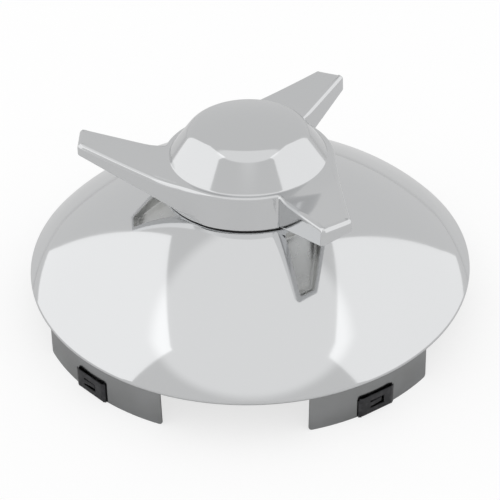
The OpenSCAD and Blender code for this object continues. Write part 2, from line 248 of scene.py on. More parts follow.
def grid_quads(rows: int, columns: int, closed: bool = False) -> np.ndarray:
    """Numbers of the corners of a grid's cells.

    Args:
        rows: Rows of points.
        columns: Columns of points.
        closed: Whether there are cells between the last column and the first.

    Returns:
        (rows - 1) x cells in a row x 4 numbers.
    """
    index = np.arange(rows * columns).reshape(rows, columns)
    if closed:
        index = np.concatenate([index, index[:, :1]], axis=1)
    return np.stack([index[:-1, :-1], index[:-1, 1:], index[1:, 1:], index[1:, :-1]], axis=-1)


@dataclass
class Shell:
    """Grids of one piece, collected here and welded into one closed mesh."""

    name: str
    points: list[np.ndarray] = field(default_factory=list)
    quads: list[np.ndarray] = field(default_factory=list)
    finishes: list[np.ndarray] = field(default_factory=list)
    count: int = 0

    def add(self, points: np.ndarray, quads: np.ndarray, side: Side) -> None:
        """Adds points and the quads that join them.

        Args:
            points: Points on a last axis of three.
            quads: Their numbers on a last axis of four.
            side: The finish of the quads.
        """
        self.points.append(points.reshape(-1, 3))
        self.quads.append(quads.reshape(-1, 4) + self.count)
        self.finishes.append(np.full(len(self.quads[-1]), side.value))
        self.count += len(self.points[-1])

    def add_grid(self, grid: np.ndarray, closed: bool = True, side: Side = Side.BRIGHT) -> None:
        """Adds a rows x columns grid; closed joins its last column to its first."""
        self.add(grid, grid_quads(*grid.shape[:2], closed), side)

    def add_sheet(self, middle: np.ndarray, cells: np.ndarray, thickness: float) -> None:
        """Adds a sheet with holes, given its middle surface and the cells that it fills.

        Both faces lie half a thickness along the grid's normals, and each edge that only
        one filled cell has is closed by a quad between the faces.

        Args:
            middle: rows x columns x 3 points of the middle surface.
            cells: (rows - 1) x (columns - 1) flags of the cells that hold metal.
            thickness: Thickness of the sheet.
        """
        across, along = np.gradient(middle, axis=1), np.gradient(middle, axis=0)
        normal = unit(np.cross(across, along)) * thickness / 2.0
        quads = grid_quads(*middle.shape[:2])[cells]
        count = middle.shape[0] * middle.shape[1]
        starts, ends = quads.reshape(-1), np.roll(quads, -1, axis=1).reshape(-1)
        rim = ~np.isin(ends * count + starts, starts * count + ends)
        sides = np.stack([starts, ends, ends + count, starts + count], axis=-1)[rim]
        faces = np.concatenate([quads, quads[:, ::-1] + count, sides[:, ::-1]])
        self.add(np.stack([middle + normal, middle - normal]), faces, Side.BRIGHT)

    def build(self) -> bpy.types.Object:
        """Welds the grids and makes the object.

        Points closer than the weld distance become one, quads that this leaves with
        two corners are dropped, and the faces are turned outwards.

        Returns:
            The object, at the origin, its place in its mesh.
        """
        points = np.concatenate(self.points)
        key = np.round(points / WELD_MM).astype(np.int64)
        _, first, welded = np.unique(key, axis=0, return_index=True, return_inverse=True)
        quads = welded.reshape(-1)[np.concatenate(self.quads)]
        kept = quads != np.roll(quads, 1, axis=1)
        sizes = kept.sum(axis=1)
        whole = sizes >= 3
        loops = quads[kept & whole[:, None]]
        sizes = sizes[whole]
        mesh = bpy.data.meshes.new(self.name)
        mesh.vertices.add(len(first))
        mesh.loops.add(len(loops))
        mesh.polygons.add(len(sizes))
        mesh.vertices.foreach_set("co", (points[first] * MM).astype(np.float32).ravel())
        mesh.loops.foreach_set("vertex_index", loops.astype(np.int32))
        for name, values in (
            ("loop_start", np.cumsum(sizes) - sizes),
            ("material_index", np.concatenate(self.finishes)[whole]),
        ):
            mesh.polygons.foreach_set(name, values.astype(np.int32))
        mesh.polygons.foreach_set("use_smooth", np.ones(len(sizes), dtype=bool))
        mesh.update(calc_edges=True)
        mesh.validate()
        form = bmesh.new()
        form.from_mesh(mesh)
        bmesh.ops.recalc_face_normals(form, faces=form.faces)
        form.to_mesh(mesh)
        form.free()
        mesh.set_sharp_from_angle(angle=SHARP_EDGE)
        piece = bpy.data.objects.new(self.name, mesh)
        bpy.context.scene.collection.objects.link(piece)
        return piece

    def fit(self, slot: str, node: str, *finishes: Finish, edge_mm: float = 0.0) -> None:
        """Makes the piece, dresses it and lets it stand for its node in the part.

        Args:
            slot: The record's material slot; not used.
            node: The solid that the piece replaces.
            finishes: Its materials, in the order of its faces' material indices.
            edge_mm: Radius that a Bevel modifier gives its sharp edges, or 0 for none.
        """
        piece = self.build()
        if edge_mm:
            bevel = piece.modifiers.new("edge radius", "BEVEL")
            bevel.width = edge_mm * MM
            bevel.segments = 2
            bevel.limit_method = "ANGLE"
            bevel.angle_limit = SHARP_EDGE
            bevel.harden_normals = True
        for finish in finishes:
            found = bpy.data.materials.get(finish.name)
            piece.data.materials.append(found or finish.build())
        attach(piece, "root")
        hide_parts(node)
        low, high = (np.array(corner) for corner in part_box(node))
        own = np.array([corner[:] for corner in piece.bound_box])
        grown = max(np.max(low - own.min(0)), np.max(own.max(0) - high)) / MM
        log.info("%s: %d faces, %.2f mm past its solid", self.name, len(piece.data.polygons), grown)


# Materials


def linear(hex_colour: str) -> tuple[float, float, float, float]:
    """Turns an sRGB colour into a linear one.

    Args:
        hex_colour: The colour, such as "#D6D7D8".

    Returns:
        Linear red, green and blue, and an alpha of 1.
    """
    parts = [int(hex_colour[i : i + 2], 16) / 255.0 for i in (1, 3, 5)]
    flat = [c / 12.92 if c <= 0.04045 else ((c + 0.055) / 1.055) ** 2.4 for c in parts]
    return (flat[0], flat[1], flat[2], 1.0)


def add_node(
    tree: bpy.types.NodeTree, kind: str, out: str | int | None = None,
    settings: dict | None = None, links: dict | None = None,
) -> bpy.types.NodeSocket | None:
    """Adds one shader node to a tree.

    Args:
        tree: The node tree.
        kind: The node's type without its prefix, such as "TexNoise".
        out: Name or number of the output that is wanted.
        settings: Attributes by name, and input values by socket name or number.
        links: Output sockets by the name or number of the input that they feed.

    Returns:
        The wanted output, if any.
    """
    node = tree.nodes.new("ShaderNode" + kind)
    for key, value in (settings or {}).items():
        if isinstance(key, str) and hasattr(node, key):
            setattr(node, key, value)
        else:
            node.inputs[key].default_value = value
    for key, source in (links or {}).items():
        tree.links.new(source, node.inputs[key])
    return None if out is None else node.outputs[out]


def new_material(name: str) -> tuple[bpy.types.Material, bpy.types.NodeTree]:
    """Makes a material without nodes.

    Args:
        name: Name of the material.

    Returns:
        The material and its empty node tree.
    """
    material = bpy.data.materials.new(name)
    material.use_nodes = True
    material.node_tree.nodes.clear()
    return material, material.node_tree


@dataclass(frozen=True)
class Pattern:
    """Noise with features of about size_mm, in Object coordinates. A turned one reads
    only radius and height, as the lines of a buffing wheel do, depth_mm is its height as
    relief, and spread the part of its range that shows as a difference of tone."""

    size_mm: float
    detail: float = 3.0
    depth_mm: float = 0.0
    turned: bool = False
    spread: tuple[float, float] = (0.3, 0.7)

    def value(self, tree: bpy.types.NodeTree) -> bpy.types.NodeSocket:
        """Adds the noise.

        Args:
            tree: The node tree.

        Returns:
            The socket with the noise, from 0 to 1.
        """
        where = add_node(tree, "TexCoord", "Object")
        if self.turned:
            flat = {"operation": "MULTIPLY", 1: (1.0, 1.0, 0.0)}
            plan = add_node(tree, "VectorMath", "Vector", flat, {0: where})
            radius = add_node(tree, "VectorMath", "Value", {"operation": "LENGTH"}, {0: plan})
            height = add_node(tree, "SeparateXYZ", "Z", None, {0: where})
            where = add_node(tree, "CombineXYZ", "Vector", None, {"X": radius, "Y": height})
        settings = {"Scale": 1.0 / (self.size_mm * MM), "Detail": self.detail}
        return add_node(tree, "TexNoise", "Fac", settings, {"Vector": where})

    def between(
        self, tree: bpy.types.NodeTree, low: float = 0.0, high: float = 1.0
    ) -> bpy.types.NodeSocket:
        """Adds the noise, carried from its spread to two values with smooth ends.

        Args:
            tree: The node tree.
            low: Value where the noise is at or below its spread.
            high: Value where it is at or above its spread.

        Returns:
            The socket with the value.
        """
        ends = dict(zip((1, 2, 3, 4), (*self.spread, low, high)))
        settings = {"interpolation_type": "SMOOTHSTEP"} | ends
        return add_node(tree, "MapRange", 0, settings, {0: self.value(tree)})


@dataclass(frozen=True)
class Finish:
    """A surface whose roughness drifts between two values with the noise dull, whose
    reliefs lie on each other, and whose colour, where tint is given, goes over to the
    colour patch by that noise."""

    name: str
    colour: str
    roughness: tuple[float, float]
    dull: Pattern
    reliefs: tuple[Pattern, ...]
    patch: str = ""
    tint: Pattern | None = None
    metallic: float = 1.0

    def build(self) -> bpy.types.Material:
        """Makes the material.

        Returns:
            The material.
        """
        material, tree = new_material(self.name)
        settings = {"Metallic": self.metallic}
        links = {"Roughness": self.dull.between(tree, *self.roughness)}
        if self.tint:
            mix = {"data_type": "RGBA", 6: linear(self.colour), 7: linear(self.patch)}
            links["Base Color"] = add_node(tree, "Mix", 2, mix, {0: self.tint.between(tree)})
        else:
            settings["Base Color"] = linear(self.colour)
        for relief in self.reliefs:
            under = {"Normal": links["Normal"]} if "Normal" in links else {}
            depth = {"Strength": 1.0, "Distance": relief.depth_mm * MM}
            height = {"Height": relief.value(tree)} | under
            links["Normal"] = add_node(tree, "Bump", "Normal", depth, height)
        shader = add_node(tree, "BsdfPrincipled", 0, settings, links)
        add_node(tree, "OutputMaterial", None, None, {"Surface": shader})
        return material


# Buffed plate is mirror-like, with a slow haze, the shallow waves of the metal under it
# and the faint turning lines of the wheel. Real lines are about 0.1 mm apart, and these
# are drawn coarser so that they show.
HAZE = Pattern(38.0)
WHEEL_LINES = Pattern(0.45, 2.0, 0.0004, turned=True)
# Plate that was never buffed is silky, with clouds and the short grain of its metal,
# which is drawn coarser than the real 0.1 mm.
CLOUDS = Pattern(22.0)
GRAIN = Pattern(0.6, 2.0, 0.002)
# Coats are matt and speckled, and lighter in wide patches where handling wore them.
OXIDE_SPECKLE = Pattern(0.25, 4.0, 0.003)
RUBBER_BLOOM = Pattern(0.3, 4.0, 0.01)

# Chrome on drawn and buffed sheet: the clearest mirror, over long pressing waves.
CROWN_CHROME = Finish(
    "buffed chrome on drawn steel", "#D9DADB", (0.05, 0.08), HAZE,
    (Pattern(30.0, 1.0, 0.004), WHEEL_LINES),
)
# Chrome on a die casting: a little greyer and softer, over the casting's short waves.
CAST_CHROME = Finish(
    "buffed chrome on zinc die casting", "#D6D7D8", (0.07, 0.11), HAZE,
    (Pattern(14.0, 1.0, 0.006), WHEEL_LINES),
)
# The same plate on the skirt, which no wheel reaches, with blurred reflections. Its middle grey is
# partly the duller, unbuffed plate and partly painted shade: it is darkened to stand for the
# shadowed floor that the skirt mirrors.
SKIRT_PLATE_AND_SHADE = Finish(
    "satin chrome and painted shade on the skirt", "#989999", (0.17, 0.23), CLOUDS, (GRAIN,), "#A2A3A4",
    CLOUDS,
)
# Nickel alone inside the sheet: warm, dull grey.
INSIDE_PLATE = Finish(
    "dull nickel inside the sheet", "#8D8C88", (0.38, 0.5), CLOUDS, (GRAIN,), "#9B9A96", CLOUDS
)
# Thin plate in the casting's pockets and hollow: pale, and half clear.
CAST_INSIDE = Finish(
    "thin plating inside the casting", "#EAEAE8", (0.26, 0.34), CLOUDS, (GRAIN,), "#F4F4F2",
    CLOUDS,
)
# Zinc on turned and stamped steel: pale blue grey with a fine grain.
ZINC_PLATE = Finish(
    "bright zinc on steel fixings", "#AEB0AB", (0.22, 0.34), CLOUDS, (Pattern(0.3, 2.0, 0.002),),
    "#BFC2C4", CLOUDS,
)
# Black oxide on tempered steel: dark, with a metal's broad sheen.
BLACK_OXIDE = Finish(
    "black oxide on spring steel", "#3A3A3C", (0.34, 0.46), OXIDE_SPECKLE, (OXIDE_SPECKLE,),
    "#4C4C4E", Pattern(3.0, spread=(0.45, 0.75)), 0.7,
)
# Rubber cut from sheet: near black and matt.
RUBBER = Finish(
    "black rubber sheet", "#161616", (0.6, 0.75), RUBBER_BLOOM, (RUBBER_BLOOM,), "#222221",
    Pattern(3.6, spread=(0.45, 0.75)), 0.0,
)


# The cap


@dataclass
class CapShell:
    """The drawn sheet: domed crown, flat plateau and seat under the spinner, rolled rim,
    and a flared skirt that five notches cut into tabs. Sizes in millimetres."""

    bore_r: float = 110.0
    rim_lap: float = 1.0
    skirt_play: float = 1.6
    tab_play: float = 0.2
    sheet: float = 0.9
    roll_r: float = 1.6
    bend_r: float = 0.9
    skirt_h: float = 21.2
    seat_slope: float = 18.4
    mid_slope: float = 34.1
    edge_slope: float = 46.0
    edge_support: float = 0.07
    flank_share: float = 0.773
    seat_out_r: float = 45.014
    seat_in_r: float = 36.414
    seat_bend_r: float = 3.0
    first_tab_az: float = 12.05
    tab_span: float = 34.4
    wide_tab: int = 3
    wide_tab_span: float = 39.5
    wide_tab_shift: float = 0.8
    tab_corner_r: float = 1.6
    notch_r: float = 2.0
    notch_relief: float = 0.4
    clip_seat_w: float = 16.1
    clip_seat_h: float = 0.65
    clip_seat_fade: tuple[float, float] = (-0.2, 0.6)
    clip_seat_reach: float = 4.0
    cut_edge_r: float = 0.22
    cut_steps: int = 3
    hole_r: float = 3.3
    screw_circle_r: float = 23.0
    seat_steps: int = 4
    flank_steps: int = 22
    shoulder_steps: int = 16
    roll_steps: int = 20
    bend_steps: int = 10
    skirt_roll_steps: int = 4
    side_steps: int = 7
    tab_columns: int = 48
    notch_columns: int = 38
    plateau_rows: int = 7
    spoke_steps: int = 12

    def __post_init__(self) -> None:
        """Works out the tangent arcs of the section, from the rim to the seat."""
        low, mid, high = map(heading, (self.seat_slope, self.mid_slope, self.edge_slope))
        self.skirt_low_r = self.bore_r - self.tab_play
        self.skirt_top_r = self.bore_r - self.skirt_play
        self.flare = math.atan((self.skirt_low_r - self.skirt_top_r) / self.skirt_h)
        self.roll_c = np.array([self.bore_r + self.rim_lap - self.roll_r, self.skirt_h])
        edge = self.roll_c + self.roll_r * high
        width = edge[0] - self.seat_out_r
        self.flank_r = width * self.flank_share / (mid[0] - low[0])
        self.shoulder_r = width * (1.0 - self.flank_share) / (high[0] - mid[0])
        self.shoulder_c = edge - self.shoulder_r * high
        self.flank_c = self.shoulder_c - (self.flank_r - self.shoulder_r) * mid
        self.seat_out = np.array([self.seat_out_r, self.flank_c[1] + self.flank_r * low[1]])
        self.plateau_z = float(self.seat_z(self.seat_in_r)) + self.seat_bend_r * (1.0 - low[1])
        self.bend_c = np.array(
            [self.seat_in_r - self.seat_bend_r * low[0], self.plateau_z - self.seat_bend_r]
        )
        self.skirt_bend_c = np.array(
            [self.skirt_top_r + self.bend_r, self.skirt_h - self.roll_r - self.bend_r]
        )
        self.notch_z = self.skirt_h - self.roll_r - self.notch_relief
        mids = self.first_tab_az + 360.0 / TABS * np.arange(TABS)
        self.clip_az = np.radians(mids)
        wide = np.arange(TABS) == self.wide_tab
        mids = mids + self.wide_tab_shift * wide
        half = np.where(wide, self.wide_tab_span, self.tab_span) / 2.0
        start = np.radians(mids + half)
        end = np.radians(np.roll(mids - half, -1) + 360.0 * (np.arange(TABS) == TABS - 1))
        self.notch_mid = (start + end) / 2.0
        self.notch_half = self.skirt_low_r * np.sin((end - start) / 2.0)

    def seat_z(self, r: np.ndarray | float) -> np.ndarray:
        """Height of the seat's cone at radius r."""
        return self.seat_out[1] + (self.seat_out_r - r) * tan_of(self.seat_slope)

    def section(self, depth: float) -> np.ndarray:
        """One face of the crown, rim and upper skirt, depth inside the outer face.

        Tangent arcs: seat bend, straight seat, flank, shoulder, rolled rim and the
        bend into the skirt, each moved along its own normals by depth.

        Args:
            depth: 0 for the outer face, the sheet's thickness for the inner one.

        Returns:
            Rows of radius and height, from the plateau's edge to above the notches.
        """
        seat, mid, edge = self.seat_slope, self.mid_slope, self.edge_slope
        seat_in = self.bend_c + self.seat_bend_r * heading(seat)
        turns = np.linspace(mid, edge, self.shoulder_steps + 1)
        turns = np.insert(turns, -1, edge - self.edge_support)
        skirt_turn = -90.0 - math.degrees(self.flare)
        return np.concatenate([
            arc(self.bend_c, self.seat_bend_r - depth, 0.0, seat, self.seat_steps)[:-1],
            (line(seat_in, self.seat_out, self.seat_steps) - depth * heading(seat))[:-1],
            arc(self.flank_c, self.flank_r - depth, seat, mid, self.flank_steps)[:-1],
            self.shoulder_c + (self.shoulder_r - depth) * heading(turns),
            arc(self.roll_c, self.roll_r - depth, edge, 180.0, self.roll_steps)[1:],
            arc(self.skirt_bend_c, self.bend_r + depth, 0.0, skirt_turn, self.bend_steps)[1:],
        ])

    def skirt_point(self, azimuth: np.ndarray, z: np.ndarray, depth: float) -> np.ndarray:
        """Point of the flared skirt: its outer face lies at skirt_low_r - z tan(flare),
        and depth is measured along its normal.

        Args:
            azimuth: Azimuths in radians.
            z: Heights on the outer face.
            depth: Distance inside the outer face.

        Returns:
            Points on a last axis of three.
        """
        r = self.skirt_low_r - z * math.tan(self.flare) - depth * math.cos(self.flare)
        return at_height(circle(azimuth, r), z - depth * math.sin(self.flare))

    def notch_side(self, inset: float) -> np.ndarray:
        """Side of a notch that is half a notch wide, from the tab's lower edge upwards.

        A quarter circle rounds the tab's lower corner and another the notch's upper
        corner, with a straight side between them, all moved into the metal by inset.

        Args:
            inset: Distance that the line is moved into the tab.

        Returns:
            A row of offsets past the notch's half width, and a row of heights.
        """
        turns = quarter(self.side_steps)
        low = self.tab_corner_r - circle(turns[::-1], self.tab_corner_r - inset)
        corner = np.array([-self.notch_r, self.notch_z - self.notch_r])
        high = corner + circle(turns, self.notch_r + inset)
        return np.concatenate([low, line(low[-1], high[0], self.side_steps)[1:-1], high]).T

    def tab_grids(self, inset: float, depth: float) -> np.ndarray:
        """Faces of all tabs, rows from the lower edge up to the notches' upper edge.

        Each row runs evenly in azimuth between the sides of the two notches beside it,
        and the lowest rows rise into the clip's seat.

        Args:
            inset: Distance inside the tab's edges.
            depth: Distance inside the outer face.

        Returns:
            tabs x rows x columns x 3 points.
        """
        side, z = self.notch_side(inset)
        r = self.skirt_low_r - z * math.tan(self.flare)
        reach = np.arcsin((self.notch_half[:, None] + side) / r)
        start = np.roll(self.notch_mid[:, None] + reach, 1, axis=0)
        start[0] -= FULL_TURN
        end = self.notch_mid[:, None] - reach
        t = shares(self.tab_columns)
        azimuth = start[..., None] * (1.0 - t) + end[..., None] * t
        past = np.abs(azimuth - self.clip_az[:, None, None]) * self.skirt_low_r
        raised = 1.0 - smooth(past - self.clip_seat_w / 2.0, *self.clip_seat_fade)
        rows = z[None, :, None]
        fading = np.clip(1.0 - rows / self.clip_seat_reach, 0.0, 1.0)
        return self.skirt_point(azimuth, rows + self.clip_seat_h * raised * fading, depth)

    def columns(self) -> tuple[np.ndarray, np.ndarray]:
        """Azimuths of the crown's columns and, for each, whether a notch is below it.

        The columns are those of the tabs at the notches' upper edge, with even steps
        across each notch between them.

        Returns:
            The azimuths, and the flags.
        """
        side, z = self.notch_side(self.cut_edge_r)
        r = self.skirt_low_r - z[-1] * math.tan(self.flare)
        half = np.arcsin((self.notch_half + side[-1]) / r)
        start = np.roll(self.notch_mid + half, 1)[:, None]
        start[0] -= FULL_TURN
        end = (self.notch_mid - half)[:, None]
        tab, gap = shares(self.tab_columns), shares(self.notch_columns)[1:-1]
        across = start * (1.0 - tab) + end * tab
        over = end + 2.0 * half[:, None] * gap
        notched = np.repeat([False, True], [len(tab), len(gap)])
        return np.concatenate([across, over], axis=1).reshape(-1), np.tile(notched, TABS)

    def edge_loop(self, inset: float, depth: float) -> np.ndarray:
        """The whole cut edge of the skirt as one closed loop: down one side of a tab,
        along its lower edge, up its other side and along the next notch.

        Args:
            inset: Distance inside the tabs' edges.
            depth: Distance inside the outer face.

        Returns:
            Points of the loop.
        """
        tabs = self.tab_grids(inset, depth)
        azimuths, notched = self.columns()
        gaps = azimuths[notched].reshape(TABS, -1)
        top = self.skirt_point(gaps, self.notch_side(inset)[1, -1], depth)
        loop = [tabs[:, ::-1, 0], tabs[:, 0, 1:], tabs[:, 1:, -1], top]
        return np.concatenate(loop, axis=1).reshape(-1, 3)

    def plateau(self, shell: Shell, azimuths: np.ndarray) -> None:
        """Adds the flat plateau with its three screw holes.

        Each third of the disc is a grid between a screw hole's circle and the third's
        border, which the hole's centre sees whole: points go along straight rays.

        Args:
            shell: The cap's shell.
            azimuths: Azimuths of the crown's columns, which the plateau's edge shares.
        """
        rows = shares(self.plateau_rows)[:, None, None]
        spokes = shares(self.spoke_steps)[:, None]
        laps = FULL_TURN * np.arange(3)[:, None]
        wrapped = (azimuths + laps).reshape(-1)
        cuts = [int(np.argmin(np.abs(wrapped - m - math.pi / BARS))) for m in BAR_TURNS]
        cuts.append(cuts[0] + len(azimuths))
        for i, middle in enumerate(np.roll(BAR_TURNS, -1)):
            rim = circle(wrapped[cuts[i] : cuts[i + 1] + 1], self.bend_c[0])
            border = np.concatenate([rim[0] * spokes[:-1], rim[:-1], rim[-1] * spokes[:0:-1]])
            centre = circle(middle, self.screw_circle_r)
            hole = centre + self.hole_r * unit(border - centre)
            top = at_height(hole * (1.0 - rows) + border * rows, self.plateau_z)
            low = top - np.array([0.0, 0.0, self.sheet])
            shell.add_grid(top)
            shell.add_grid(low, side=Side.INSIDE)
            shell.add_grid(np.stack([top[0], low[0]]), side=Side.INSIDE)

    def build(self) -> None:
        """Builds the cap: both faces of the crown and the tabs, the rounded cut edge
        between them, and the plateau."""
        shell = Shell("cap_sheet")
        azimuths, _ = self.columns()
        top_z = self.notch_side(self.cut_edge_r)[1, -1]
        for depth, crown, skirt in (
            (0.0, Side.BRIGHT, Side.SKIRT), (self.sheet, Side.INSIDE, Side.INSIDE)
        ):
            rows = revolve(self.section(depth), azimuths)
            under = len(rows) - self.bend_steps - self.skirt_roll_steps
            lower = [rows[under:], self.skirt_point(azimuths, top_z, depth)[None]]
            shell.add_grid(rows[: under + 1], side=crown)
            shell.add_grid(np.concatenate(lower), side=skirt)
            for tab in self.tab_grids(self.cut_edge_r, depth):
                shell.add_grid(tab, closed=False, side=skirt)
        outside = self.cut_edge_r * (1.0 - circle(quarter(self.cut_steps))[:, ::-1])
        inside = np.array([0.0, self.sheet]) + outside[::-1] * np.array([1.0, -1.0])
        loops = [self.edge_loop(i, d) for i, d in np.concatenate([outside, inside])]
        shell.add_grid(np.stack(loops), side=Side.SKIRT)
        self.plateau(shell, azimuths)
        shell.fit("chromed_sheet", "cap_shell", CROWN_CHROME, SKIRT_PLATE_AND_SHADE, INSIDE_PLATE)


# The spinner


@dataclass
class StarPlan:
    """Plan of the casting at the height of its level ledge: three bars, each with two
    straight sides and a rounded tip, whose swept side runs out into the round hub ring.
    Points, outward normals, how the drafted walls carry each point outwards on their
    way down, and how far each point is from a bar's roots."""

    hub_r: float = 40.8
    hub_draft: float = 7.0
    bar_draft: float = 3.2
    lead_root: tuple[float, float] = (40.8, -5.8)
    lead_tip: tuple[float, float] = (82.4, -8.3)
    trail_tip: tuple[float, float] = (80.8, 7.6)
    tip_r: float = 2.0
    crotch_r: float = 1.2
    crotch_drop: float = 10.0
    sweep_lap: float = 0.4
    lap_turn: float = 24.0
    lean_run: float = 12.0
    crotch_steps: int = 9
    lead_steps: int = 24
    corner_steps: int = 10
    end_steps: int = 6
    sweep_steps: int = 34
    ring_steps: int = 30

    def __post_init__(self) -> None:
        """Works out one bar and the ring after it, then turns them for all bars."""
        one = self.one_bar()
        spin = np.stack([rotation(a)[:2, :2] for a in BAR_TURNS])
        self.period = len(one[0])
        self.ring = self.period - self.ring_steps
        self.points, self.normals, self.drift = (
            np.einsum("kij,nj->kni", spin, v).reshape(-1, 2) for v in one
        )
        self.lean = (self.drift * self.normals).sum(-1)
        self.slip = self.drift - self.normals * self.lean[:, None]
        self.axes = np.repeat(spin[:, :, 0], self.period, axis=0)
        step = np.linalg.norm(np.diff(one[0], axis=0, prepend=one[0][:1]), axis=1)
        along = np.cumsum(step)
        along[self.ring :] = along[self.ring]
        self.from_root = np.tile(np.minimum(along, along[self.ring] - along), BARS)

    def crotch(self, drop: float, normals: np.ndarray | None = None) -> tuple[np.ndarray, ...]:
        """Concave arc between the ring and a bar's straight side, drop below the ledge.

        The arc's centre lies its radius outside the ring, whose radius has grown by the
        ring's draft, and outside the straight side, which has moved by the bars' draft.

        Args:
            drop: Millimetres below the ledge.
            normals: Normals to use, or None to turn them from the ring's to the side's.

        Returns:
            The arc's points, its normals and its centre.
        """
        root, tip = map(np.array, (self.lead_root, self.lead_tip))
        lead_dir = unit(tip - root)
        lead_out = right_of(lead_dir)
        ring_r = self.hub_r + drop * tan_of(self.hub_draft) + self.crotch_r
        base = root + lead_out * (drop * tan_of(self.bar_draft) + self.crotch_r)
        b, c = base @ lead_dir, base @ base - ring_r**2
        centre = base + lead_dir * (-b + math.sqrt(b * b - c))
        if normals is None:
            normals = turned(unit(centre), lead_out, self.crotch_steps)
        return centre - normals * self.crotch_r, normals, centre

    def one_bar(self) -> tuple[np.ndarray, np.ndarray, np.ndarray]:
        """One bar's plan in its own frame, x along the bar.

        Concave arc out of the ring, straight side, two convex arcs with the end between
        them, a straight swept side whose line stands sweep_lap outside the ring, then
        the ring's arc, on which that lap fades by a smooth step. Each stretch leaves
        out its last point.

        Returns:
            Points, outward normals, and how far each point moves per millimetre down.
        """
        root, tip, trail = map(np.array, (self.lead_root, self.lead_tip, self.trail_tip))
        touch_r = self.hub_r + self.sweep_lap
        angle = math.atan2(trail[1], trail[0]) + math.acos(touch_r / float(np.linalg.norm(trail)))
        touch = circle(angle, touch_r)
        lead_dir, end_dir, sweep_dir = unit(tip - root), unit(trail - tip), unit(touch - trail)
        lead_out, end_out, sweep_out = map(right_of, (lead_dir, end_dir, sweep_dir))

        crotch, crotch_n, centre = self.crotch(0.0)
        lower = self.crotch(self.crotch_drop, crotch_n)[0]
        corners = []
        for corner, along, u, v in (
            (tip, lead_dir, lead_out, end_out), (trail, end_dir, end_out, sweep_out)
        ):
            back = self.tip_r * math.tan(math.acos(float(u @ v)) / 2.0)
            out = turned(u, v, self.corner_steps)
            corners.append((corner - along * back - u * self.tip_r + out * self.tip_r, out))
        (tip_a, out_a), (tip_b, out_b) = corners

        a = np.linspace(
            angle, math.atan2(centre[1], centre[0]) + FULL_TURN / BARS, self.ring_steps + 1
        )
        lap_turn = math.radians(self.lap_turn)
        fade = np.clip((a - angle) / lap_turn, 0.0, 1.0)
        r = self.hub_r + self.sweep_lap * (1.0 - smooth(fade, 0.0, 1.0))
        shrink = self.sweep_lap * 6.0 * fade * (1.0 - fade) / lap_turn
        ring_n = unit(circle(a, r) + circle(a + math.pi / 2.0, shrink))

        stretches = [
            (crotch, crotch_n), (line(crotch[-1], tip_a[0], self.lead_steps), lead_out),
            (tip_a, out_a), (line(tip_a[-1], tip_b[0], self.end_steps), end_out),
            (tip_b, out_b), (line(tip_b[-1], touch, self.sweep_steps), sweep_out),
            (circle(a, r), ring_n),
        ]
        points = np.concatenate([p[:-1] for p, _ in stretches])
        normals = np.concatenate([np.broadcast_to(n, p.shape)[:-1] for p, n in stretches])
        on_ring = smooth((points - touch) @ sweep_dir, -self.lean_run, 0.0)
        on_ring *= normals @ sweep_out > SAME_WAY
        on_ring[len(points) - self.ring_steps :] = 1.0
        bar_lean, ring_lean = tan_of(self.bar_draft), tan_of(self.hub_draft)
        drift = normals * (bar_lean + (ring_lean - bar_lean) * on_ring)[:, None]
        drift[: self.crotch_steps] = ((lower - crotch) / self.crotch_drop)[:-1]
        return points, normals, drift

    def lowered(self, drop: np.ndarray) -> np.ndarray:
        """The plan's points on the drafted walls, drop below the ledge."""
        return self.points + self.drift * drop[:, None]


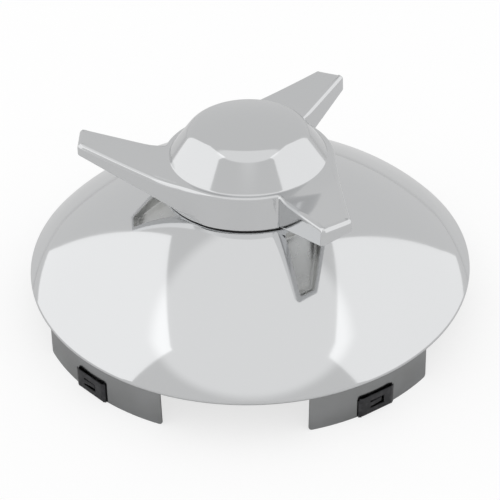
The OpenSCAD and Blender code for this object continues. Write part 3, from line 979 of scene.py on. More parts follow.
@dataclass
class SpinnerCasting:
    """The hollow casting: round boss, level ledge, hub ring, three rising bars with
    pockets below them, foot ring and three tapped posts. Sizes in millimetres."""

    cap: CapShell
    plan: StarPlan = field(default_factory=StarPlan)
    hub_h: float = 16.4
    wall: float = 3.0
    foot_w: float = 4.2
    rise_r: float = 46.8
    rise_blend: float = 3.0
    ledge_slope: float = 13.0
    gasket_t: float = 1.0
    boss_r: float = 38.2
    boss_h: float = 18.3
    boss_side: float = 52.5
    boss_shoulder_r: float = 10.0
    boss_crown_r: float = 96.0
    boss_foot_r: float = 1.1
    underside_slope: float = 22.8
    underside_turn: float = 24.0
    underside_start: float = 34.0
    lowest_wall: float = 0.5
    ring_edge_r: float = 1.6
    edge_r: float = 2.4
    edge_grows: tuple[float, float] = (1.0, 14.0)
    bottom_r: float = 0.8
    bottom_grows: tuple[float, float] = (0.0, 7.0)
    foot_edge_r: float = 0.4
    pocket_corner: float = 3.2
    pocket_margin: float = 1.0
    pocket_fillet: float = 1.3
    pocket_lip: float = 0.6
    pocket_draft: float = 4.0
    pocket_depth: float = 3.0
    path_step: float = 0.2
    wall_shares: tuple[float, ...] = (0.3, 0.65, 1.0)
    roof_shares: tuple[float, ...] = (0.04, 0.2, 0.4, 0.6, 0.8, 1.0)
    even_reach: int = 14
    crown_steps: int = 9
    shoulder_steps: int = 26
    root_steps: int = 8
    edge_steps: int = 12
    bottom_steps: int = 6
    foot_edge_steps: int = 5
    hollow_steps: tuple[int, int] = (4, 10)
    foot_line_steps: int = 36
    lip_steps: int = 4
    fillet_steps: int = 5
    post_steps: int = 40
    flank_rows: tuple[int, float] = (6, 0.02)
    ledge_rows: tuple[int, float] = (30, 0.012)
    wall_rows: tuple[int, float] = (9, 0.03)
    foot_rows: tuple[int, float] = (5, 0.04)
    edge_rounds: int = 6
    underside_rounds: int = 12
    post_r: float = 6.0
    bore_r: float = 3.0
    bore_h: float = 14.3

    def __post_init__(self) -> None:
        """Works out the heights, the undersides' planes and the boss's tangent arcs."""
        plan = self.plan
        self.ring_lean = tan_of(plan.hub_draft)
        self.rise = tan_of(self.ledge_slope)
        self.foot_r = plan.hub_r + self.hub_h * self.ring_lean
        self.foot_in_r = self.foot_r - self.foot_w
        self.foot_z = float(self.cap.seat_z(self.foot_r)) + self.gasket_t
        self.top_z = self.foot_z + self.hub_h
        self.up = tan_of(self.underside_slope) * circle(math.radians(self.underside_turn))
        self.ups = plan.axes * self.up[0] - right_of(plan.axes) * self.up[1]
        self.boss_z = float(self.ledge_z(self.boss_r))
        side, side_r, crown_r = heading(self.boss_side), self.boss_shoulder_r, self.boss_crown_r
        closing = crown_r - side_r * side[1] - self.boss_h
        closing += tan_of(self.boss_side) * (self.boss_r - side_r * side[0])
        closing *= side[1] / (crown_r - side_r)
        self.boss_turn = self.boss_side - math.degrees(math.acos(closing))
        self.crown_c = np.array([0.0, self.boss_z + self.boss_h - crown_r])
        self.shoulder_c = self.crown_c + (crown_r - side_r) * heading(self.boss_turn)

    def rising(self, r: np.ndarray) -> np.ndarray:
        """Share of the full slope that the upper face has at radius r: 0 on the level
        ledge, 1 on the bars, a straight ramp over twice rise_blend between them."""
        return np.clip((r - self.rise_r) / (2.0 * self.rise_blend) + 0.5, 0.0, 1.0)

    def ledge_z(self, r: np.ndarray) -> np.ndarray:
        """Height of the upper face at radius r: the integral of its slope."""
        past = np.maximum(r - self.rise_r - self.rise_blend, 0.0)
        return self.top_z + self.rise * (self.rise_blend * self.rising(r) ** 2 + past)

    def roof_z(self, plan: np.ndarray) -> np.ndarray:
        """Height of a pocket's roof at plan points, a wall below the upper face."""
        return self.ledge_z(np.linalg.norm(plan, axis=1)) - self.wall

    def under_z(self, plan: np.ndarray, up: np.ndarray) -> np.ndarray:
        """Height of a bar's underside at plan points: a plane that climbs along up, and
        nowhere less than lowest_wall above the foot."""
        start = self.underside_start * float(np.linalg.norm(self.up))
        return self.foot_z + np.maximum((plan * up).sum(-1) - start, self.lowest_wall)

    def boss_section(self, depth: float, crown_steps: int, shoulder_steps: int) -> np.ndarray:
        """The boss's section: the crown's arc and the shoulder's arc, tangent to it.

        Args:
            depth: Distance inside the boss's face.
            crown_steps: Chords on the crown.
            shoulder_steps: Chords on the shoulder.

        Returns:
            Rows of radius and height, from the pole to the end of the shoulder.
        """
        turn, side = self.boss_turn, self.boss_side
        crown = arc(self.crown_c, self.boss_crown_r - depth, 0.0, turn, crown_steps)
        inside = self.boss_shoulder_r - depth
        shoulder = arc(self.shoulder_c, inside, turn, side, shoulder_steps)
        return np.concatenate([crown, shoulder[1:]])

    def walls(self) -> np.ndarray:
        """The casting's sides from the upper face down to the walls' lower edge.

        The edge fillet, the drafted wall and, under the bars, the lower edge's radius
        make a section across the wall, as distance out and height, in each column. It
        is moved along the plan's normals.

        Returns:
            rows x columns x 3 points.
        """
        plan = self.plan
        normals, lean = plan.normals, plan.lean
        corner_z = self.ledge_z(np.linalg.norm(plan.points, axis=1))
        for _ in range(self.edge_rounds):
            edge = plan.lowered(self.top_z - corner_z)
            corner_z = self.ledge_z(np.linalg.norm(edge, axis=1))
        slope = self.rise * self.rising(np.linalg.norm(edge, axis=1))
        slope = slope * (unit(edge) * normals).sum(-1)
        low_z, flat_z = self.lower_edge(), self.foot_z + self.lowest_wall + TOUCH_MM
        under = (self.ups * normals).sum(-1) * (low_z > flat_z)
        corner, low = (np.stack([(self.top_z - z) * lean, z], axis=-1) for z in (corner_z, low_z))
        inward, under_in = (unit(-np.stack([np.ones_like(v), v], axis=-1)) for v in (slope, under))
        down = unit(np.stack([lean, -np.ones_like(lean)], axis=-1))
        grown = smooth(plan.from_root, *self.edge_grows)
        edge_r = self.ring_edge_r + (self.edge_r - self.ring_edge_r) * grown
        top_edge = fillet(corner, inward, down, edge_r, self.edge_steps)
        bottom_r = self.bottom_r * smooth(plan.from_root, *self.bottom_grows)
        bottom = fillet(low, -down, under_in, bottom_r, self.bottom_steps)
        t = supported(*self.wall_rows)[1:-1, None, None]
        wall = top_edge[-1] * (1.0 - t) + bottom[0] * t
        across = np.concatenate([top_edge, wall, bottom])
        drop = self.top_z - across[..., 1:]
        around = plan.points + normals * across[..., :1] + plan.slip * drop
        return at_height(around, across[..., 1])

    def outer_rows(self) -> np.ndarray:
        """The casting's face from the boss's pole down to the lower edge of its walls.

        Boss rows are circles. Ledge rows pass from the last circle to the walls' upper
        row, evenly in radius and azimuth, and lie on the turned upper face.

        Returns:
            rows x columns x 3 points.
        """
        walls = self.walls()
        inset_r = np.linalg.norm(walls[0, :, :2], axis=1)
        inset_az = np.unwrap(np.arctan2(walls[0, :, 1], walls[0, :, 0]))
        azimuths = self.spread(inset_az)
        boss = self.boss_section(0.0, self.crown_steps, self.shoulder_steps)
        foot, foot_r = np.array([[self.boss_r, self.boss_z]]), np.array([self.boss_foot_r])
        up_side = heading(self.boss_side - 90.0)[None]
        root = fillet(foot, up_side, heading(90.0)[None], foot_r, self.root_steps)[:, 0]
        flank = boss[-1] + (root[0] - boss[-1]) * supported(*self.flank_rows)[1:-1, None]
        circles = revolve(np.concatenate([boss, flank, root]), azimuths)
        t = supported(*self.ledge_rows)[1:-1, None]
        r = root[-1, 0] + (inset_r - root[-1, 0]) * t
        ledge = at_height(circle(azimuths + (inset_az - azimuths) * t, r), self.ledge_z(r))
        return np.concatenate([circles, ledge, walls])

    def spread(self, azimuths: np.ndarray) -> np.ndarray:
        """Evens the columns' steps: each becomes the mean of those up to even_reach
        columns away, so that columns which bunch along a bar's side part on the boss.

        Args:
            azimuths: Azimuths of the columns at the walls.

        Returns:
            Their azimuths on the boss.
        """
        near = range(-self.even_reach, self.even_reach + 1)
        steps = np.diff(np.append(azimuths, azimuths[0] + FULL_TURN))
        evened = sum(np.roll(steps, k) for k in near) / len(near)
        even = np.cumsum(evened) - evened
        return even + float(np.mean(azimuths - even))

    def lower_edge(self) -> np.ndarray:
        """Height at which each column's wall ends: the bars' sloped underside, and
        between the bars a line on the ring's wall that joins their roots.

        Returns:
            A height for each of the plan's points.
        """
        plan = self.plan
        z = np.full(len(plan.points), self.foot_z)
        for _ in range(self.underside_rounds):
            z = self.under_z(plan.lowered(self.top_z - z), self.ups)
        z = z.reshape(BARS, plan.period)
        t = shares(plan.ring_steps)[:-1]
        ends = z[:, plan.ring, None], np.roll(z[:, :1], -1, axis=0)
        z[:, plan.ring :] = ends[0] * (1.0 - t) + ends[1] * t
        return z.reshape(-1)

    def arc_under_bar(self, root: np.ndarray, end: np.ndarray, steps: int) -> np.ndarray:
        """Line where a bar's underside meets the foot ring's wall, in the bar's frame.

        Args:
            root: Point where the leading side's root meets the ring.
            end: Point where the swept side runs out into the ring.
            steps: Number of chords.

        Returns:
            Points from root to end.
        """
        ends = (math.atan2(point[1], point[0]) for point in (root, end))
        radial = circle(np.linspace(*ends, steps + 1))
        z = np.full(len(radial), self.foot_z)
        for _ in range(self.underside_rounds):
            flat = radial * (self.plan.hub_r + (self.top_z - z) * self.ring_lean)[:, None]
            z = self.under_z(flat, self.up)
        points = at_height(flat, z)
        points[0], points[-1] = root, end
        return points

    def pocket_edge(self) -> tuple[np.ndarray, np.ndarray]:
        """Edge of the pocket under a bar, in the bar's frame.

        The bar's sides moved in by the wall's thickness, closed by an arc outside the
        foot ring. The path is taken at even steps, and a running mean along it rounds
        its four corners.

        Returns:
            Points of the closed path, and the indices of its four corners.
        """
        plan = self.plan
        spin = rotation(BAR_TURNS[0])[:2, :2]
        normals = plan.normals[: plan.period] @ spin
        inner = plan.points[: plan.period] @ spin - normals * self.wall
        lead = plan.crotch_steps
        end = lead + plan.lead_steps + plan.corner_steps
        sweep = end + plan.end_steps + plan.corner_steps
        along = -right_of(normals)
        tip_a = crossing(inner[lead], along[lead], inner[end], along[end])
        tip_b = crossing(inner[end], along[end], inner[sweep], along[sweep])
        limit = self.foot_r + self.pocket_margin
        start_x = math.sqrt(limit**2 - inner[lead][1] ** 2)
        upright = np.array([0.0, 1.0])
        start = crossing(np.array([start_x, -limit]), upright, inner[lead], along[lead])
        start = limit * unit(start)
        swept = inner[sweep : sweep + plan.sweep_steps]
        swept = swept[np.linalg.norm(swept, axis=1) > limit]
        last = limit * unit(swept[-1])
        ends = (math.atan2(point[1], point[0]) for point in (last, start))
        sides = [
            np.stack([start, tip_a]), np.stack([tip_a, tip_b]),
            np.concatenate([[tip_b], swept, [last]]), circle(np.linspace(*ends, 60), limit),
        ]
        dense, corners = [], []
        for side in sides:
            run = np.cumsum(np.linalg.norm(np.diff(side, axis=0, prepend=side[:1]), axis=1))
            steps = run[-1] * shares(max(2, int(run[-1] / self.path_step)))[:-1]
            corners.append(sum(map(len, dense)))
            dense.append(np.stack([np.interp(steps, run, v) for v in side.T], axis=-1))
        path = np.concatenate(dense)
        window = int(self.pocket_corner / self.path_step)
        shifts = range(-window // 2, window // 2 + 1)
        for _ in range(2):
            path = sum(np.roll(path, s, axis=0) for s in shifts) / len(shifts)
        return path, np.array(corners)

    def underside(self, shell: Shell, turn: float, edge: np.ndarray) -> np.ndarray:
        """Adds one bar's underside: flat rim, rounded edge, pocket walls and roof.

        The rim is a grid between the wall's lower edge, closed by the line on the foot
        ring, and the pocket's edge. Both loops are matched by their share of the way
        between four corners. The rows after it repeat the pocket's edge, each moved in
        and up: a quarter circle of the lip, three of the drafted wall, a quarter circle
        of the fillet, and the roof's rows, which shrink to their middle.

        Args:
            shell: The casting's shell.
            turn: Azimuth of the bar.
            edge: The wall's lower edge along the bar, from root to root.

        Returns:
            The line where the underside meets the foot ring, in the part's frame.
        """
        plan, spin = self.plan, rotation(turn)
        local = edge @ spin
        foot_line = self.arc_under_bar(local[0], local[-1], self.foot_line_steps)
        outer = np.concatenate([local, foot_line[-2:0:-1]])
        path, corners = self.pocket_edge()
        lead_end = plan.crotch_steps + plan.lead_steps + plan.corner_steps // 2
        end_end = lead_end + plan.corner_steps + plan.end_steps
        marks = [0, lead_end, end_end, len(local) - 1, len(outer)]
        step = np.linalg.norm(np.roll(outer, -1, axis=0) - outer, axis=1)
        run = np.concatenate([[0.0], np.cumsum(step)])
        place = np.interp(run[:-1], run[marks], np.append(corners, len(path)).astype(float))
        whole = np.floor(place).astype(int) % len(path)
        share = (place - np.floor(place))[:, None]
        loop = path[whole] * (1.0 - share) + np.roll(path, -1, axis=0)[whole] * share
        tangent = unit(np.roll(path, -2, axis=0) - np.roll(path, 2, axis=0))
        inward = -right_of(tangent[whole])

        lip, r = self.pocket_lip, self.pocket_fillet
        drawn = self.pocket_depth * tan_of(self.pocket_draft)
        rows = [outer]
        for a in quarter(self.lip_steps):
            flat = loop - inward * lip * (1.0 - math.sin(a))
            rows.append(at_height(flat, self.under_z(flat, self.up) + lip * (1.0 - math.cos(a))))
        lowest = rows[-1][:, 2]
        for t in self.wall_shares:
            flat = loop + inward * drawn * t
            rows.append(at_height(flat, lowest * (1.0 - t) + (self.roof_z(flat) - r) * t))
        for b in quarter(self.fillet_steps)[1:]:
            flat = loop + inward * (drawn + r * (1.0 - math.cos(b)))
            rows.append(at_height(flat, self.roof_z(flat) - r * (1.0 - math.sin(b))))
        rim = rows[-1][:, :2]
        for t in self.roof_shares:
            flat = rim * (1.0 - t) + rim.mean(axis=0) * t
            rows.append(at_height(flat, self.roof_z(flat)))
        grid = np.stack(rows) @ spin.T
        shell.add_grid(grid[: self.lip_steps])
        shell.add_grid(grid[self.lip_steps - 1 :], side=Side.HOLLOW)
        return foot_line @ spin.T

    def inner_rows(self, azimuths: np.ndarray) -> np.ndarray:
        """The foot ring's rounded edge, its face, and the hollow up to its pole.

        Args:
            azimuths: Azimuths of the columns.

        Returns:
            rows x columns x 3 points.
        """
        foot, edge_r = np.array([[self.foot_r, self.foot_z]]), np.array([self.foot_edge_r])
        up_wall = unit(np.array([[-self.ring_lean, 1.0]]))
        along_foot = heading(self.cap.seat_slope - 90.0)[None]
        edge = fillet(foot, up_wall, along_foot, edge_r, self.foot_edge_steps)[:, 0]
        foot_in_z = float(self.cap.seat_z(self.foot_in_r)) + self.gasket_t
        roof_z = self.boss_z - self.wall
        boss_in_r = self.boss_r - self.wall / heading(self.boss_side)[0]
        hollow = [[self.foot_in_r, foot_in_z], [self.foot_in_r, roof_z], [boss_in_r, roof_z]]
        boss = self.boss_section(self.wall, *self.hollow_steps)[::-1]
        return revolve(np.concatenate([edge, hollow, boss]), azimuths)

    def posts(self, shell: Shell) -> None:
        """Adds the three posts, each a cylinder with a blind bore, up into the boss.

        Args:
            shell: The casting's shell.
        """
        r, bore_r, low = self.post_r, self.bore_r, self.cap.plateau_z
        face = self.boss_section(self.wall / 2.0, self.post_steps, self.post_steps)
        top = float(np.interp(self.cap.screw_circle_r + r, face[:, 0], face[:, 1]))
        roof = low + self.bore_h
        section = np.array([[0, top], [r, top], [r, low], [bore_r, low], [bore_r, roof], [0, roof]])
        for centre in at_height(circle(BAR_TURNS, self.cap.screw_circle_r), 0.0):
            shell.add_grid(revolve(section, all_round(self.post_steps)) + centre, side=Side.HOLLOW)

    def build(self) -> None:
        """Builds the casting: its outer face, the bars' undersides, the foot ring inside
        the seam that they leave, the hollow and the posts."""
        shell = Shell("spinner_casting")
        rows = self.outer_rows()
        shell.add_grid(rows)
        ring, stretches = self.plan.ring, []
        for turn, lowest in zip(BAR_TURNS, rows[-1].reshape(BARS, self.plan.period, 3)):
            stretches += [self.underside(shell, turn, lowest[: ring + 1])[:-1], lowest[ring:]]
        seam = np.concatenate(stretches)
        inner = self.inner_rows(np.arctan2(seam[:, 1], seam[:, 0]))
        t = supported(*self.foot_rows)[:-1, None, None]
        foot = self.foot_edge_steps
        shell.add_grid(np.concatenate([seam * (1.0 - t) + inner[0] * t, inner[: foot + 1]]))
        shell.add_grid(inner[foot:], side=Side.HOLLOW)
        self.posts(shell)
        shell.fit("chromed_casting", "spinner", CAST_CHROME, CAST_INSIDE)


@dataclass
class SeatGasket:
    """The rubber ring between the casting's foot and the crown's seat; its outer edge
    bulges a little where the screws squeeze it."""

    spinner: SpinnerCasting
    inset: float = 0.8
    bulge: float = 0.2
    bulge_steps: int = 8
    round_steps: int = 180

    def build(self) -> None:
        """Builds the gasket: a section that follows the seat's cone, its outer end a
        sine bulge, turned about the axis."""
        thick, seat_z = self.spinner.gasket_t, self.spinner.cap.seat_z
        r_in, r_out = self.spinner.foot_in_r, self.spinner.foot_r - self.inset
        t = shares(self.bulge_steps)
        r = r_out - self.bulge + self.bulge * np.sin(math.pi * t)
        edge = np.stack([r, seat_z(r) + thick * t], axis=-1)
        inner = [[r_in, seat_z(r_in) + thick], [r_in, seat_z(r_in)]]
        shell = Shell("seat_gasket")
        section = np.concatenate([edge, inner, edge[:1]])
        shell.add_grid(revolve(section, all_round(self.round_steps)))
        shell.fit("rubber", "spinner_gasket", RUBBER)


# The clips


@dataclass
class TensionClips:
    """The spring clips, one folded over the lower edge of each tab: an outer leaf with
    bent-back ends and a lanced tongue, a fold and a shorter inner leaf."""

    cap: CapShell
    width: float = 19.0
    height: float = 10.6
    steel: float = 0.5
    stand: float = 0.7
    inner_height: float = 8.4
    end: float = 1.6
    window_w: float = 7.6
    window_h: float = 4.4
    window_lift: float = 5.5
    slit: float = 1.1
    lip: float = 1.0
    gap: float = 0.15
    hinge: float = 0.35
    bend: float = 0.75
    end_lift: float = 0.05
    chamfer_w: float = 0.5
    chamfer_h: float = 0.9
    edge: float = 0.06
    bend_columns: tuple[float, ...] = (-0.6, -0.3, 0.0, 0.3, 0.7)
    end_column: float = 0.45
    leaf_steps: int = 5
    fold_steps: int = 5
    tongue_steps: int = 4
    stage_steps: int = 3

    def middle_surface(self) -> tuple[np.ndarray, np.ndarray]:
        """Middle surface of the folded clip and the cells that hold metal.

        Rows run from the inner leaf's top down through the fold's two quarter circles
        and up the outer leaf; columns run along the tab's edge. Outside the fold's
        width the outer leaf goes straight down beside the fold, and bends back by
        (d + sqrt(d^2 + hinge^2)) / 2 times a slope, d past the bend. The tongue runs
        along the clip between two slits and leans evenly towards the tab.

        Returns:
            rows x columns x 3 points with x along the tab's edge, y outwards from its
            face and z up, and the filled cells.
        """
        e, half_w = self.width / 2.0, self.window_w / 2.0
        f, reach = e - self.end, half_w - self.lip
        sag = self.cap.skirt_low_r - math.sqrt(self.cap.skirt_low_r**2 - f * f)
        bend = f + np.array(self.bend_columns)
        side = np.concatenate(
            [reach * shares(self.tongue_steps), np.linspace(half_w, bend[0], self.stage_steps + 1),
             bend[1:], [e - self.end_column, e]]
        )
        x = np.concatenate([-side[:0:-1], side])
        back_y = -(self.cap.sheet + sag + self.gap) - self.steel / 2.0
        front_y = self.stand + self.steel / 2.0
        bend_z = self.steel / 2.0 + self.bend
        inner = line([back_y, self.inner_height], [back_y, bend_z], self.leaf_steps)[:-1]
        fold_out = self.bend * circle(quarter(self.fold_steps))
        turn_a = [back_y + self.bend, bend_z] - fold_out
        turn_b = [front_y - self.bend, bend_z] + right_of(fold_out)
        low, high = self.window_lift + self.window_h / 2.0 * np.array([-1.0, 1.0])
        stops = (bend_z, low, low + self.slit, high - self.slit, high, self.height)
        t = shares(self.stage_steps)[1:]
        heights = np.concatenate([u + (v - u) * t for u, v in zip(stops, stops[1:])])
        outer = np.stack([np.full(len(heights), front_y), heights], axis=-1)
        rows = np.concatenate([inner, turn_a, turn_b, outer])
        fold = slice(len(inner) + len(turn_a), len(inner) + len(turn_a) + len(turn_b))
        straight = rows.copy()
        straight[fold, 0] = front_y
        straight[fold, 1] = np.linspace(self.end_lift, bend_z, len(turn_b))
        beside = np.abs(x) > f + TOUCH_MM
        on_leaf, on_end = (
            (np.arange(len(rows)) >= first)[:, None] for first in (fold.stop - 2, fold.start)
        )
        past = np.abs(x) - f
        drop = (self.stand + sag * (e / f) ** 2 - self.gap) / self.end
        back = drop * (past + np.sqrt(past**2 + self.hinge**2)) / 2.0
        y, z = (np.where(beside, straight[:, k, None], rows[:, k, None]) for k in (0, 1))
        y = y - np.where(on_leaf | (on_end & beside), back, 0.0)
        on_tongue = on_leaf & (x < reach + TOUCH_MM) & (x > -half_w)
        on_tongue &= (z > stops[2] - TOUCH_MM) & (z < stops[3] + TOUCH_MM)
        lean = (self.stand - self.gap) / (half_w + reach)
        y = y - np.where(on_tongue, (x + half_w) * lean, 0.0)
        grid = np.stack([np.broadcast_to(x, y.shape), y, z], axis=-1)
        cell_x = (x[:-1] + x[1:]) / 2.0
        cell_z = (rows[:-1, 1] + rows[1:, 1])[:, None] / 2.0
        leaf = on_leaf[:-1] & on_leaf[1:]
        ends = on_end[:-1] & on_end[1:] & (np.abs(cell_x) > bend[3])
        window = leaf & (np.abs(cell_x) < half_w) & (cell_z > low) & (cell_z < high)
        tongue = (cell_x < reach) & (cell_z > stops[2]) & (cell_z < stops[3])
        chamfer = leaf & (cell_x < self.chamfer_w - e) & (cell_z > self.height - self.chamfer_h)
        cells = (leaf | ends | (np.abs(cell_x) < f)) & (~window | tongue) & ~chamfer
        return grid, cells

    def build(self) -> None:
        """Builds the five clips, each with its grid set on its tab's leaning face."""
        grid, cells = self.middle_surface()
        flare, up = self.cap.flare, np.array([0.0, 0.0, 1.0])
        for i, azimuth in enumerate(self.cap.clip_az, start=1):
            out, along = at_height(circle(azimuth + np.array([0.0, math.pi / 2.0])), 0.0)
            normal = out * math.cos(flare) + up * math.sin(flare)
            rise = up * math.cos(flare) - out * math.sin(flare)
            base = out * self.cap.skirt_low_r + up * self.gap
            shell = Shell(f"tension_clip_{i}")
            shell.add_sheet(base + grid @ np.stack([along, normal, rise]), cells, self.steel)
            shell.fit("spring_steel", f"clip_{i}", BLACK_OXIDE, edge_mm=self.edge)


# The fixings


@dataclass
class Fixings:
    """Hex screws from inside the cap, each with a split spring washer and a flat one."""

    spinner: SpinnerCasting
    screw_r: float = 3.0
    screw_l: float = 16.0
    pitch: float = 1.0
    thread_h: float = 0.45
    thread_fade: tuple[float, float] = (0.3, 1.2)
    tip_h: float = 0.5
    tip_chamfer: float = 0.3
    head_af: float = 10.0
    head_rows: tuple[tuple[float, float], ...] = (
        (-4.0, 0.0), (-4.0, 0.92), (-4.0, 0.965), (-3.55, 1.09), (-3.1, 1.2), (-0.3, 1.2),
        (0.0, 1.06),
    )
    flat_r: float = 7.0
    flat_t: float = 1.2
    lock_r: float = 5.5
    lock_t: float = 1.6
    slit: float = 1.2
    play: float = 0.3
    edge: float = 0.15
    screw_steps: int = 72
    thread_steps: int = 149
    flat_steps: int = 96
    lock_steps: int = 72

    def ring_section(self, outer: float, low: float, high: float) -> np.ndarray:
        """Closed section of a flat ring round the screw, with small chamfers at its edges.

        Args:
            outer: Outer radius.
            low: Height of its lower face.
            high: Height of its upper face.

        Returns:
            Rows of radius and height.
        """
        e, inner = self.edge, self.screw_r + self.play
        return np.array(
            [[inner + e, low], [outer - e, low], [outer, low + e], [outer, high - e],
             [outer - e, high], [inner + e, high], [inner, high - e], [inner, low + e],
             [inner + e, low]]
        )

    def screw(self, shell: Shell, place: np.ndarray) -> None:
        """Adds a screw. Its hexagon is cut to a circle whose radius, a share of half the
        width across flats, goes with the height in head_rows, and the radius of its
        thread follows a triangle wave of height and azimuth over the pitch.

        Args:
            shell: The screw's shell.
            place: Centre of the plateau's inner face over the screw.
        """
        a = all_round(self.screw_steps)
        face = np.abs((a + math.pi / 6.0) % (math.pi / 3.0) - math.pi / 6.0)
        half = self.head_af / 2.0
        head = [
            at_height(circle(a, np.minimum(half / np.cos(face), limit * half)), z)
            for z, limit in self.head_rows
        ]
        z = (self.screw_l - self.tip_h) * shares(self.thread_steps)[:, None]
        phase = (z / self.pitch - a / FULL_TURN) % 1.0
        depth = self.thread_h * smooth(z, *self.thread_fade)
        shank = at_height(circle(a, self.screw_r - depth * np.abs(2.0 * phase - 1.0)), z)
        tip_r = self.screw_r - self.thread_h - self.tip_chamfer
        tip = revolve(np.array([[tip_r, self.screw_l], [0.0, self.screw_l]]), a)
        seat = np.array([0.0, 0.0, -self.flat_t - self.lock_t])
        shell.add_grid(np.concatenate([np.stack(head), shank, tip]) + seat + place)

    def flat_washer(self, shell: Shell, place: np.ndarray) -> None:
        """Adds a flat washer: a chamfered section turned about the screw."""
        section = self.ring_section(self.flat_r, -self.flat_t, 0.0)
        shell.add_grid(revolve(section, all_round(self.flat_steps)) + place)

    def lock_washer(self, shell: Shell, place: np.ndarray) -> None:
        """Adds a split spring washer: the same kind of section, carried round from one
        side of the slit to the other and closed at both ends.

        Args:
            shell: The washer's shell.
            place: Centre of the plateau's inner face over the screw.
        """
        section = self.ring_section(self.lock_r, -self.flat_t - self.lock_t, -self.flat_t)
        half = math.asin(self.slit / 2.0 / (self.screw_r + self.play))
        azimuths = np.linspace(half, FULL_TURN - half, self.lock_steps + 1)
        ring = revolve(section, azimuths) + place
        shell.add_grid(ring, closed=False)
        for end in (ring[:, 0], ring[:, -1]):
            middle = np.broadcast_to(end[:-1].mean(axis=0), end.shape)
            shell.add_grid(np.stack([end, middle]), closed=False)

    def build(self) -> None:
        """Builds a screw and its two washers at each of the three places."""
        cap = self.spinner.cap
        places = at_height(circle(BAR_TURNS, cap.screw_circle_r), cap.plateau_z - cap.sheet)
        kinds = (
            ("hex", "screw", self.screw), ("steel", "flat_washer", self.flat_washer),
            ("steel", "lock_washer", self.lock_washer),
        )
        for i, place in enumerate(places, start=1):
            for prefix, kind, add in kinds:
                shell = Shell(f"{prefix}_{kind}_{i}")
                add(shell, place)
                shell.fit("zinc_plate", f"{kind}_{i}", ZINC_PLATE)


# The studio


def put(name: str, data: bpy.types.ID, place: tuple, target: tuple, roll: float) -> None:
    """Puts a lamp or camera at a place, facing a target, rolled about its own axis.

    Args:
        name: Name of the object.
        data: The lamp or camera.
        place: Where it stands.
        target: Where it looks.
        roll: Turn about its line of sight, in degrees.
    """
    holder = bpy.data.objects.new(name, data)
    turn = (Vector(target) - Vector(place)).to_track_quat("-Z", "Y").to_matrix().to_4x4()
    own = Matrix.Rotation(math.radians(roll), 4, "Z")
    holder.matrix_world = Matrix.Translation(place) @ turn @ own
    bpy.context.scene.collection.objects.link(holder)


@dataclass(frozen=True)
class Softbox:
    """A rectangular lamp that shows as a white field in the chrome."""

    name: str
    place: tuple[float, float, float]
    target: tuple[float, float, float]
    size: tuple[float, float]
    radiance: float

    def build(self) -> None:
        """Adds the lamp, facing its target; its power is radiance x pi x area."""
        lamp = bpy.data.lights.new(self.name, "AREA")
        lamp.shape = "RECTANGLE"
        lamp.size, lamp.size_y = self.size
        lamp.energy = self.radiance * math.pi * self.size[0] * self.size[1]
        put(self.name, lamp, self.place, self.target, 0.0)


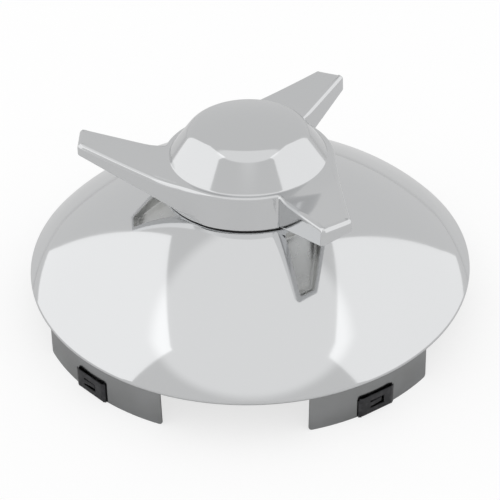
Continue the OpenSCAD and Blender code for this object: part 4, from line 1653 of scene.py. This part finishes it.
@dataclass(frozen=True)
class Studio:
    """Pale floor, soft surroundings, two softboxes and the camera of the photo."""

    floor_size: float = 12.0
    floor_colour: str = "#E6E6E6"
    floor_clouds: Pattern = Pattern(180.0)
    floor_tones: tuple[float, float] = (0.98, 1.0)
    floor_glow: float = 0.72
    floor_shade: tuple[float, float, float, float] = (0.3, 0.3, 0.3, 1.0)
    camera_place: tuple[float, float, float] = (0.0, -0.3944, 0.3146)
    camera_target: tuple[float, float, float] = (0.00007, 0.0, 0.0192)
    camera_roll: float = -0.99
    camera_near: float = 0.01
    lens_mm: float = 68.84
    film_mm: float = 36.0
    room: float = 0.72
    ceiling: float = 0.95
    ceiling_towards: tuple[float, float, float] = (0.0, -0.208, 0.978)
    ceiling_edge: tuple[float, float] = (0.80, 0.86)
    lamps: tuple[Softbox, ...] = (
        Softbox("left softbox", (-1.0, 0.13, 0.96), (0.0, 0.13, 0.96), (1.56, 1.72), 0.42),
        Softbox("right softbox", (1.0, -0.03, 0.93), (0.0, -0.03, 0.93), (1.62, 1.66), 0.36),
    )

    def build(self) -> None:
        """Builds the studio."""
        self.world()
        self.floor()
        self.camera()
        for lamp in self.lamps:
            lamp.build()

    def world(self) -> None:
        """Surroundings as bright as the room, with a round soft light on the ceiling
        about the direction ceiling_towards, its edge between two cosines."""
        world = bpy.data.worlds.new("studio")
        bpy.context.scene.world = world
        world.use_nodes = True
        tree = world.node_tree
        tree.nodes.clear()
        ray = add_node(tree, "TexCoord", "Generated")
        towards = {"operation": "DOT_PRODUCT", 1: self.ceiling_towards}
        lean = add_node(tree, "VectorMath", "Value", towards, {0: ray})
        ends = dict(zip((1, 2, 3, 4), (*self.ceiling_edge, self.room, self.ceiling)))
        ramp = {"interpolation_type": "SMOOTHSTEP"} | ends
        light = {"Strength": add_node(tree, "MapRange", 0, ramp, {0: lean})}
        surface = add_node(tree, "Background", 0, {"Color": WHITE}, light)
        add_node(tree, "OutputWorld", None, None, {"Surface": surface})

    def floor(self) -> None:
        """Pale floor that is lit like paper, and to the camera adds the light that it
        needs to be seen white, with the part's shadow on it."""
        half = self.floor_size / 2.0
        mesh = bpy.data.meshes.new("floor")
        corners = [(-half, -half, 0.0), (half, -half, 0.0), (half, half, 0.0), (-half, half, 0.0)]
        mesh.from_pydata(corners, [], [(0, 1, 2, 3)])
        floor = bpy.data.objects.new("floor", mesh)
        bpy.context.scene.collection.objects.link(floor)
        material, tree = new_material("pale floor")
        tone = self.floor_clouds.between(tree, *self.floor_tones)
        tint = {"data_type": "RGBA", "blend_type": "MULTIPLY", 0: 1.0, 6: linear(self.floor_colour)}
        colour = add_node(tree, "Mix", 2, tint, {7: tone})
        paper = add_node(tree, "BsdfDiffuse", 0, None, {"Color": colour})
        glow = add_node(tree, "Emission", 0, {"Strength": self.floor_glow})
        shade = add_node(tree, "BsdfDiffuse", 0, {"Color": self.floor_shade})
        seen = add_node(tree, "AddShader", 0, None, {0: glow, 1: shade})
        to_camera = add_node(tree, "LightPath", "Is Camera Ray")
        mix = add_node(tree, "MixShader", 0, None, {0: to_camera, 1: paper, 2: seen})
        add_node(tree, "OutputMaterial", None, None, {"Surface": mix})
        mesh.materials.append(material)

    def camera(self) -> None:
        """Camera at the photo's angle, rolled about its own axis."""
        camera = bpy.data.cameras.new("camera")
        camera.lens, camera.sensor_width = self.lens_mm, self.film_mm
        camera.clip_start = self.camera_near
        put("camera", camera, self.camera_place, self.camera_target, self.camera_roll)
        bpy.context.scene.camera = bpy.data.objects["camera"]


def main() -> None:
    """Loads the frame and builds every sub-assembly around it."""
    logging.basicConfig(level=logging.INFO, format="%(message)s")
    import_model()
    bpy.context.scene.view_settings.view_transform = "Standard"
    Studio().build()
    cap = CapShell()
    spinner = SpinnerCasting(cap)
    for assembly in (cap, spinner, SeatGasket(spinner), TensionClips(cap), Fixings(spinner)):
        assembly.build()


if __name__ == "__main__":
    main()
